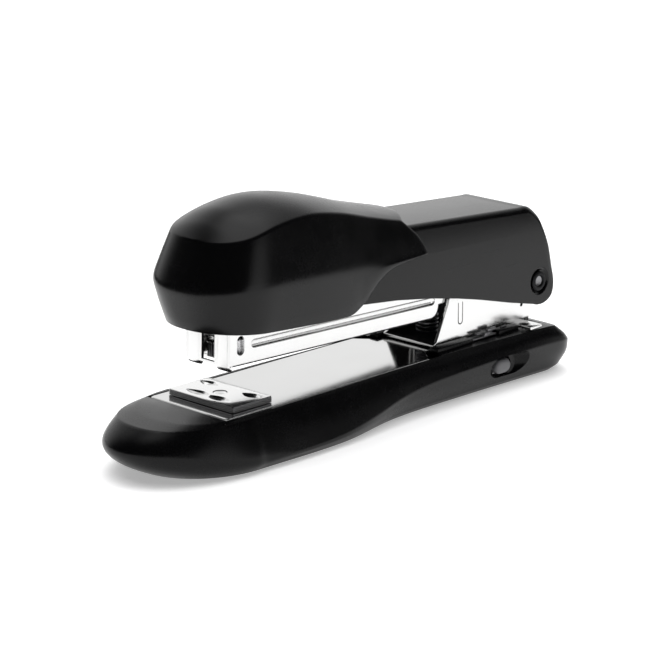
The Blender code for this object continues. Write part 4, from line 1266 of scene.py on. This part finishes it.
def pivot_dish(side):
    """The round dish pressed in the arm's wall about the pin, facing out along Z."""
    face, back = ARM_HALF, ARM_HALF - 1.25
    profile = [
        (DISH_R, back), (DISH_R, face - 0.02), (3.62, face), (3.45, face - 0.06), (3.2, face - 0.3),
        (3.0, face - 0.52), (2.75, face - 0.62), (2.3, face - 0.64), (2.26, face - 0.7), (2.26, back),
    ]
    return turned("pivot_dish", profile, side, 64, ring=True)


def hood_section(u_rel, inset):
    """The hood's line from the near hem over the crown to the far hem, at one station.

    u_rel runs from 0 at the rear edge to 1 at the side's end, then to 2 round the nose.
    """
    t = inset
    rows = []
    for line, half_line, tip, power, sweep in (
        (HOOD_HEM, HEM_HALF, -114.2, 2.1, 0.0),
        (HOOD_WAIST, WAIST_HALF, -116.8, 2.6, 0.0),
        (HOOD_SHOULDER, SHOULDER_HALF, -112.6, 2.6, HOOD_SWEEP),
    ):
        if u_rel <= 1:
            rear = HOOD_REAR_U - sweep
            u = rear + (HOOD_TURN_U - rear) * u_rel
            y = along(half_line, u) - t
        else:
            turn = math.pi / 2 * (u_rel - 1)
            u = HOOD_TURN_U + (tip + t - HOOD_TURN_U) * math.sin(turn) ** (2 / power)
            y = (along(half_line, HOOD_TURN_U) - t) * math.cos(turn) ** (2 / power)
        rows.append(Vector((u, y, along(line, u))))
    hem, waist, shoulder = rows
    if hem.z > 3.0:
        hem.y += (waist.y - hem.y) * (hem.z - 1.5) / (waist.z - 1.5)
    bow = HOOD_BOW * max(0.0, 1 - u_rel * 2)
    crown = []
    for k in range(1, 9):
        across = 1 - k / 8
        lift = 1 - across * across
        ridge_u = shoulder.x + bow * lift
        height = shoulder.z + (along(HOOD_RIDGE, ridge_u) - shoulder.z) * lift - t
        crown.append(Vector((ridge_u, shoulder.y * across, height)))
    shoulder.z -= t
    low = swelled(hem, waist, 0.25)
    high = swelled(waist, shoulder, 0.1)
    high.x += 1.3 * max(0.0, 1 - u_rel * 3)
    near = rounded([hem, low, waist, high, shoulder, *crown], {2: 1.6, 4: 0.7}, 2, 5)
    return [(p.x, -p.y, p.z) for p in near] + [(p.x, p.y, p.z) for p in reversed(near[:-1])]


def swelled(first, second, bulge):
    """The point halfway between two, pushed out from the middle plane."""
    point = (first + second) / 2
    point.y += bulge * min(1.0, point.y / (bulge * 8))
    return point


def make_hood():
    side, nose = 44, 30
    stations = [i / side for i in range(side + 1)] + [1 + (i + 1) / nose for i in range(nose - 1)] + [1.992]
    shells = [[hood_section(s, inset) for s in stations] for inset in (0.0, HOOD_WALL)]
    rows, count = len(shells[0][0]), len(stations)
    points = [p for shell in shells for section in shell for p in section]

    def spot(shell, station, row):
        return (shell * count + station) * rows + row

    faces = []
    last = count - 1
    for shell in (0, 1):
        for s in range(last):
            for r in range(rows - 1):
                corners = ((s, r), (s + 1, r), (s + 1, r + 1), (s, r + 1))
                faces.append(tuple(spot(shell, *corner) for corner in corners))
        for r in range(rows // 2):
            mirror = rows - 1 - r
            corners = [spot(shell, last, row) for row in (r, r + 1, mirror - 1, mirror)]
            faces.append(tuple(dict.fromkeys(corners)))
    for r in range(rows - 1):
        faces.append((spot(0, 0, r), spot(0, 0, r + 1), spot(1, 0, r + 1), spot(1, 0, r)))
    for r in (0, rows - 1):
        for s in range(last):
            faces.append((spot(0, s, r), spot(0, s + 1, r), spot(1, s + 1, r), spot(1, s, r)))
    faces.append((spot(0, last, 0), spot(0, last, rows - 1), spot(1, last, rows - 1), spot(1, last, 0)))
    mesh = softened(closed_mesh("grip_shell", points, faces, HANDLE), 0.22, 2, 55)
    show("grip_shell", mesh, "handle", [finish_of("hood plastic")], ["hood"], 40)


def make_driver():
    steel = [finish_of("spring steel")]
    for node, width in (("driver_blade", 0.1), ("blade_rivet_left", 0.0), ("blade_rivet_right", 0.0)):
        show(f"{node}_finished", node_copy(node, width), "handle", steel, [node])


def make_pin():
    """The pin as a tube rivet: a rolled head in each dish, and a washer against each bracket wall."""
    face = ARM_HALF
    half = [
        (0.05, face - 0.5), (1.15, face - 0.5), (1.3, face - 0.42), (1.42, face - 0.1), (1.62, face + 0.06),
        (2.0, face + 0.1), (2.35, face), (2.55, face - 0.2), (2.55, face - 0.42), (1.98, face - 0.45),
    ]
    profile = half + [(radius, -height) for radius, height in reversed(half)]
    place = Matrix.Translation(PIN) @ ALONG_Y
    mesh = turned("pin_rivet", profile, place)
    for finish in ("inner steel", "spring steel"):
        mesh.materials.append(finish_of(finish))
    eye = 1.35 * MM
    paint_faces(mesh, 1, lambda face: math.hypot(face.center.x - PIN.x, face.center.z - PIN.z) < eye)
    show("pin_rivet", mesh, "base", [], ["main_pin"])
    steel = [finish_of("bright steel")]
    for node in ("pivot_washer_left", "pivot_washer_right"):
        show(f"{node}_finished", node_copy(node, 0.1), "base", steel, [node])


# ================================================================ stage
def make_world():
    """Surroundings: a bright backdrop, a soft strip in front, dark elsewhere; white to the camera."""
    world = bpy.data.worlds.new("studio")
    bpy.context.scene.world = world
    world.use_nodes = True
    nodes, links = world.node_tree.nodes, world.node_tree.links
    background = nodes["Background"]
    background.inputs["Color"].default_value = (1, 1, 1, 1)
    way = nodes.new("ShaderNodeTexCoord")
    split = nodes.new("ShaderNodeSeparateXYZ")
    links.new(way.outputs["Generated"], split.inputs[0])
    azimuth = math.radians(CAMERA["azimuth"])
    ahead = (-math.sin(azimuth), math.cos(azimuth))

    def number(operation, first, second):
        made = nodes.new("ShaderNodeMath")
        made.operation = operation
        for socket, value in zip(made.inputs, (first, second)):
            if isinstance(value, bpy.types.NodeSocket):
                links.new(value, socket)
            else:
                socket.default_value = value
        return made.outputs[0]

    def towards(x, y):
        along_x = number("MULTIPLY", split.outputs[0], x)
        return number("ADD", along_x, number("MULTIPLY", split.outputs[1], y))

    def fade(value, low, high, top):
        ramp = nodes.new("ShaderNodeMapRange")
        ramp.interpolation_type = "SMOOTHSTEP"
        links.new(value, ramp.inputs["Value"])
        for key, setting in (("From Min", low), ("From Max", high), ("To Min", 0.0), ("To Max", top)):
            ramp.inputs[key].default_value = setting
        return ramp.outputs["Result"]

    look = bpy.context.scene.stapler_looks
    above = fade(split.outputs[2], -0.06, 0.06, 1.0)
    below = number("SUBTRACT", 1.0, fade(split.outputs[2], 0.4, 0.75, 0.4))
    behind = fade(towards(*ahead), 0.2, 0.75, look.back_light)
    backdrop = number("MULTIPLY", behind, number("MULTIPLY", above, below))
    strip = fade(towards(*STRIP_WAY), 0.90, 0.985, look.front_light)
    lean = number("MULTIPLY", towards(*ahead), math.cos(math.radians(CROWN_LIGHT_TILT)))
    rise = number("MULTIPLY", split.outputs[2], math.sin(math.radians(CROWN_LIGHT_TILT)))
    crown = fade(number("ADD", lean, rise), 0.84, 0.985, look.crown_light)
    glow = number("ADD", backdrop, number("ADD", strip, crown))
    path = nodes.new("ShaderNodeLightPath")
    seen = nodes.new("ShaderNodeMix")
    links.new(path.outputs["Is Camera Ray"], seen.inputs["Factor"])
    links.new(glow, seen.inputs[2])
    seen.inputs[3].default_value = 1.0
    links.new(seen.outputs[0], background.inputs["Strength"])


def area_light(name, where, aim, size, power):
    """A soft rectangular lamp at a point, turned to its aim; metres and watts."""
    lamp = bpy.data.lights.new(name, "AREA")
    lamp.shape = "RECTANGLE"
    lamp.size, lamp.size_y = size
    lamp.energy = power
    thing = bpy.data.objects.new(name, lamp)
    thing.location = where
    thing.rotation_mode = "QUATERNION"
    thing.rotation_quaternion = (Vector(aim) - Vector(where)).to_track_quat("-Z", "Y")
    bpy.context.scene.collection.objects.link(thing)
    return thing


def make_steel_cards():
    """Pale cards on the other three sides, lit for the bright steel only."""
    steels = bpy.data.collections.new("steels")
    for thing in bpy.context.scene.objects:
        if thing.type == "MESH" and any(m and m.name in STEELS for m in thing.data.materials):
            steels.objects.link(thing)
    azimuth = math.radians(CAMERA["azimuth"])
    for k in CARD_SIDES:
        turn = azimuth + math.radians(90 * k)
        where = (CARD["away"] * math.cos(turn), CARD["away"] * math.sin(turn), CARD["height"])
        card = area_light(f"steel_card_{k}", where, (0.0, 0.0, 0.0), CARD["size"], CARD["power"])
        card.light_linking.receiver_collection = steels


def make_floor():
    azimuth = math.radians(CAMERA["azimuth"])
    right = Vector((math.cos(azimuth), math.sin(azimuth), 0))
    ahead = Vector((-math.sin(azimuth), math.cos(azimuth), 0))
    points = [right * x + ahead * y for x, y in FLOOR_CORNERS]
    mesh = bpy.data.meshes.new("studio_floor")
    mesh.from_pydata(points, [], [(0, 1, 2, 3)])
    mesh.materials.append(finish_of("studio card"))
    floor = bpy.data.objects.new("studio_floor", mesh)
    bpy.context.scene.collection.objects.link(floor)


def make_camera():
    azimuth, elevation = math.radians(CAMERA["azimuth"]), math.radians(CAMERA["elevation"])
    level = math.cos(elevation)
    back = Vector((math.sin(azimuth) * level, -math.cos(azimuth) * level, math.sin(elevation)))
    right = Vector((math.cos(azimuth), math.sin(azimuth), 0))
    turn = Matrix((right, back.cross(right), back)).transposed().to_4x4()
    lens = bpy.data.cameras.new("camera")
    lens.lens, lens.sensor_width = CAMERA["lens"], SENSOR
    lens.clip_start, lens.clip_end = 0.02, 50
    camera = bpy.data.objects.new("camera", lens)
    where = LEVEL @ (Vector((CAMERA["x"], CAMERA["y"], CAMERA["z"])) * MM)
    camera.matrix_world = Matrix.Translation(where) @ turn
    bpy.context.scene.collection.objects.link(camera)
    bpy.context.scene.camera = camera


# ================================================================ add-on
class StaplerLooks(bpy.types.PropertyGroup):
    """Colours and lights that a user would change."""

    base_black: bpy.props.FloatVectorProperty(
        name="Base colour", description="Colour of the moulded base", subtype="COLOR", size=3,
        default=(0.0014, 0.0014, 0.0016),
    )
    hood_black: bpy.props.FloatVectorProperty(
        name="Grip colour", description="Colour of the moulded grip", subtype="COLOR", size=3,
        default=(0.0016, 0.0016, 0.0018),
    )
    arm_black: bpy.props.FloatVectorProperty(
        name="Arm colour", description="Colour of the arm's enamel", subtype="COLOR", size=3,
        default=(0.0012, 0.0012, 0.0014),
    )
    button_grey: bpy.props.FloatVectorProperty(
        name="Button colour", description="Colour of the side buttons", subtype="COLOR", size=3,
        default=(0.12, 0.12, 0.125),
    )
    steel: bpy.props.FloatVectorProperty(
        name="Steel colour", description="Colour of the plated steel", subtype="COLOR", size=3,
        default=(0.75, 0.75, 0.745),
    )
    base_roughness: bpy.props.FloatProperty(
        name="Base roughness", description="How satin the base is",
        default=0.27, min=0, max=1, subtype="FACTOR",
    )
    hood_roughness: bpy.props.FloatProperty(
        name="Grip roughness", description="How satin the grip is",
        default=0.26, min=0, max=1, subtype="FACTOR",
    )
    arm_roughness: bpy.props.FloatProperty(
        name="Arm roughness", description="How satin the arm's enamel is",
        default=0.20, min=0, max=1, subtype="FACTOR",
    )
    steel_roughness: bpy.props.FloatProperty(
        name="Steel roughness", description="How satin the plated steel is",
        default=0.16, min=0, max=1, subtype="FACTOR",
    )
    front_light: bpy.props.FloatProperty(
        name="Front light", description="Brightness of the soft strip in front",
        default=1.3, min=0, max=10,
    )
    back_light: bpy.props.FloatProperty(
        name="Back light", description="Brightness of the surroundings behind",
        default=1.2, min=0, max=10,
    )
    crown_light: bpy.props.FloatProperty(
        name="Crown light", description="Brightness of the soft light over the grip",
        default=1.8, min=0, max=10,
    )
    overhead_power: bpy.props.FloatProperty(
        name="Overhead power", description="Power of the overhead soft light",
        default=33.0, min=0, max=1000, unit="POWER",
    )


class BasePieces(bpy.types.Operator):
    """Base shell, plate, cover, clips, screws and pads"""

    bl_idname = "stapler.base"
    bl_label = "Base"

    def execute(self, context):
        make_base()
        make_base_fittings()
        return {"FINISHED"}


class BracketPieces(bpy.types.Operator):
    """Steel bracket, pin, washers and lift spring"""

    bl_idname = "stapler.bracket"
    bl_label = "Bracket and pin"

    def execute(self, context):
        make_bracket()
        make_pin()
        make_lift_spring()
        return {"FINISHED"}


class AnvilPieces(bpy.types.Operator):
    """Turning anvil, its rivet and spring washer"""

    bl_idname = "stapler.anvil"
    bl_label = "Anvil"

    def execute(self, context):
        make_anvil()
        return {"FINISHED"}


class ButtonPieces(bpy.types.Operator):
    """Release buttons and their springs"""

    bl_idname = "stapler.buttons"
    bl_label = "Release buttons"

    def execute(self, context):
        make_buttons()
        return {"FINISHED"}


class MagazinePieces(bpy.types.Operator):
    """Magazine, rail, staples, pusher and springs"""

    bl_idname = "stapler.magazine"
    bl_label = "Magazine"

    def execute(self, context):
        make_magazine()
        make_pusher()
        return {"FINISHED"}


class HandlePieces(bpy.types.Operator):
    """Arm, grip, driver blade and its rivets"""

    bl_idname = "stapler.handle"
    bl_label = "Handle"

    def execute(self, context):
        make_arm()
        make_hood()
        make_driver()
        return {"FINISHED"}


class StudioStage(bpy.types.Operator):
    """Floor, lights, surroundings and camera"""

    bl_idname = "stapler.stage"
    bl_label = "Stage"

    def execute(self, context):
        look = context.scene.stapler_looks
        context.scene.view_settings.view_transform = "Standard"
        make_world()
        make_floor()
        where, size = (0.0, 0.0, OVERHEAD["height"]), (OVERHEAD["side"], OVERHEAD["side"])
        overhead = area_light("overhead", where, (0.0, 0.0, 0.0), size, look.overhead_power)
        overhead.visible_glossy = False
        make_steel_cards()
        make_camera()
        return {"FINISHED"}


OPERATORS = (BasePieces, BracketPieces, AnvilPieces, ButtonPieces, MagazinePieces, HandlePieces, StudioStage)


class StaplerPanel(bpy.types.Panel):
    """Lists the stapler's pieces and looks"""

    bl_idname = "VIEW3D_PT_stapler"
    bl_label = "Stapler"
    bl_space_type = "VIEW_3D"
    bl_region_type = "UI"
    bl_category = "Stapler"

    def draw(self, context):
        looks = context.scene.stapler_looks
        for name in StaplerLooks.__annotations__:
            self.layout.prop(looks, name)
        for operator in OPERATORS:
            self.layout.operator(operator.bl_idname)


CLASSES = (StaplerLooks, *OPERATORS, StaplerPanel)


def register():
    for made in CLASSES:
        bpy.utils.register_class(made)
    bpy.types.Scene.stapler_looks = bpy.props.PointerProperty(type=StaplerLooks)


def unregister():
    del bpy.types.Scene.stapler_looks
    for made in reversed(CLASSES):
        bpy.utils.unregister_class(made)


def main():
    register()
    for operator in OPERATORS:
        group, name = operator.bl_idname.split(".")
        getattr(getattr(bpy.ops, group), name)()


if __name__ == "__main__":
    main()
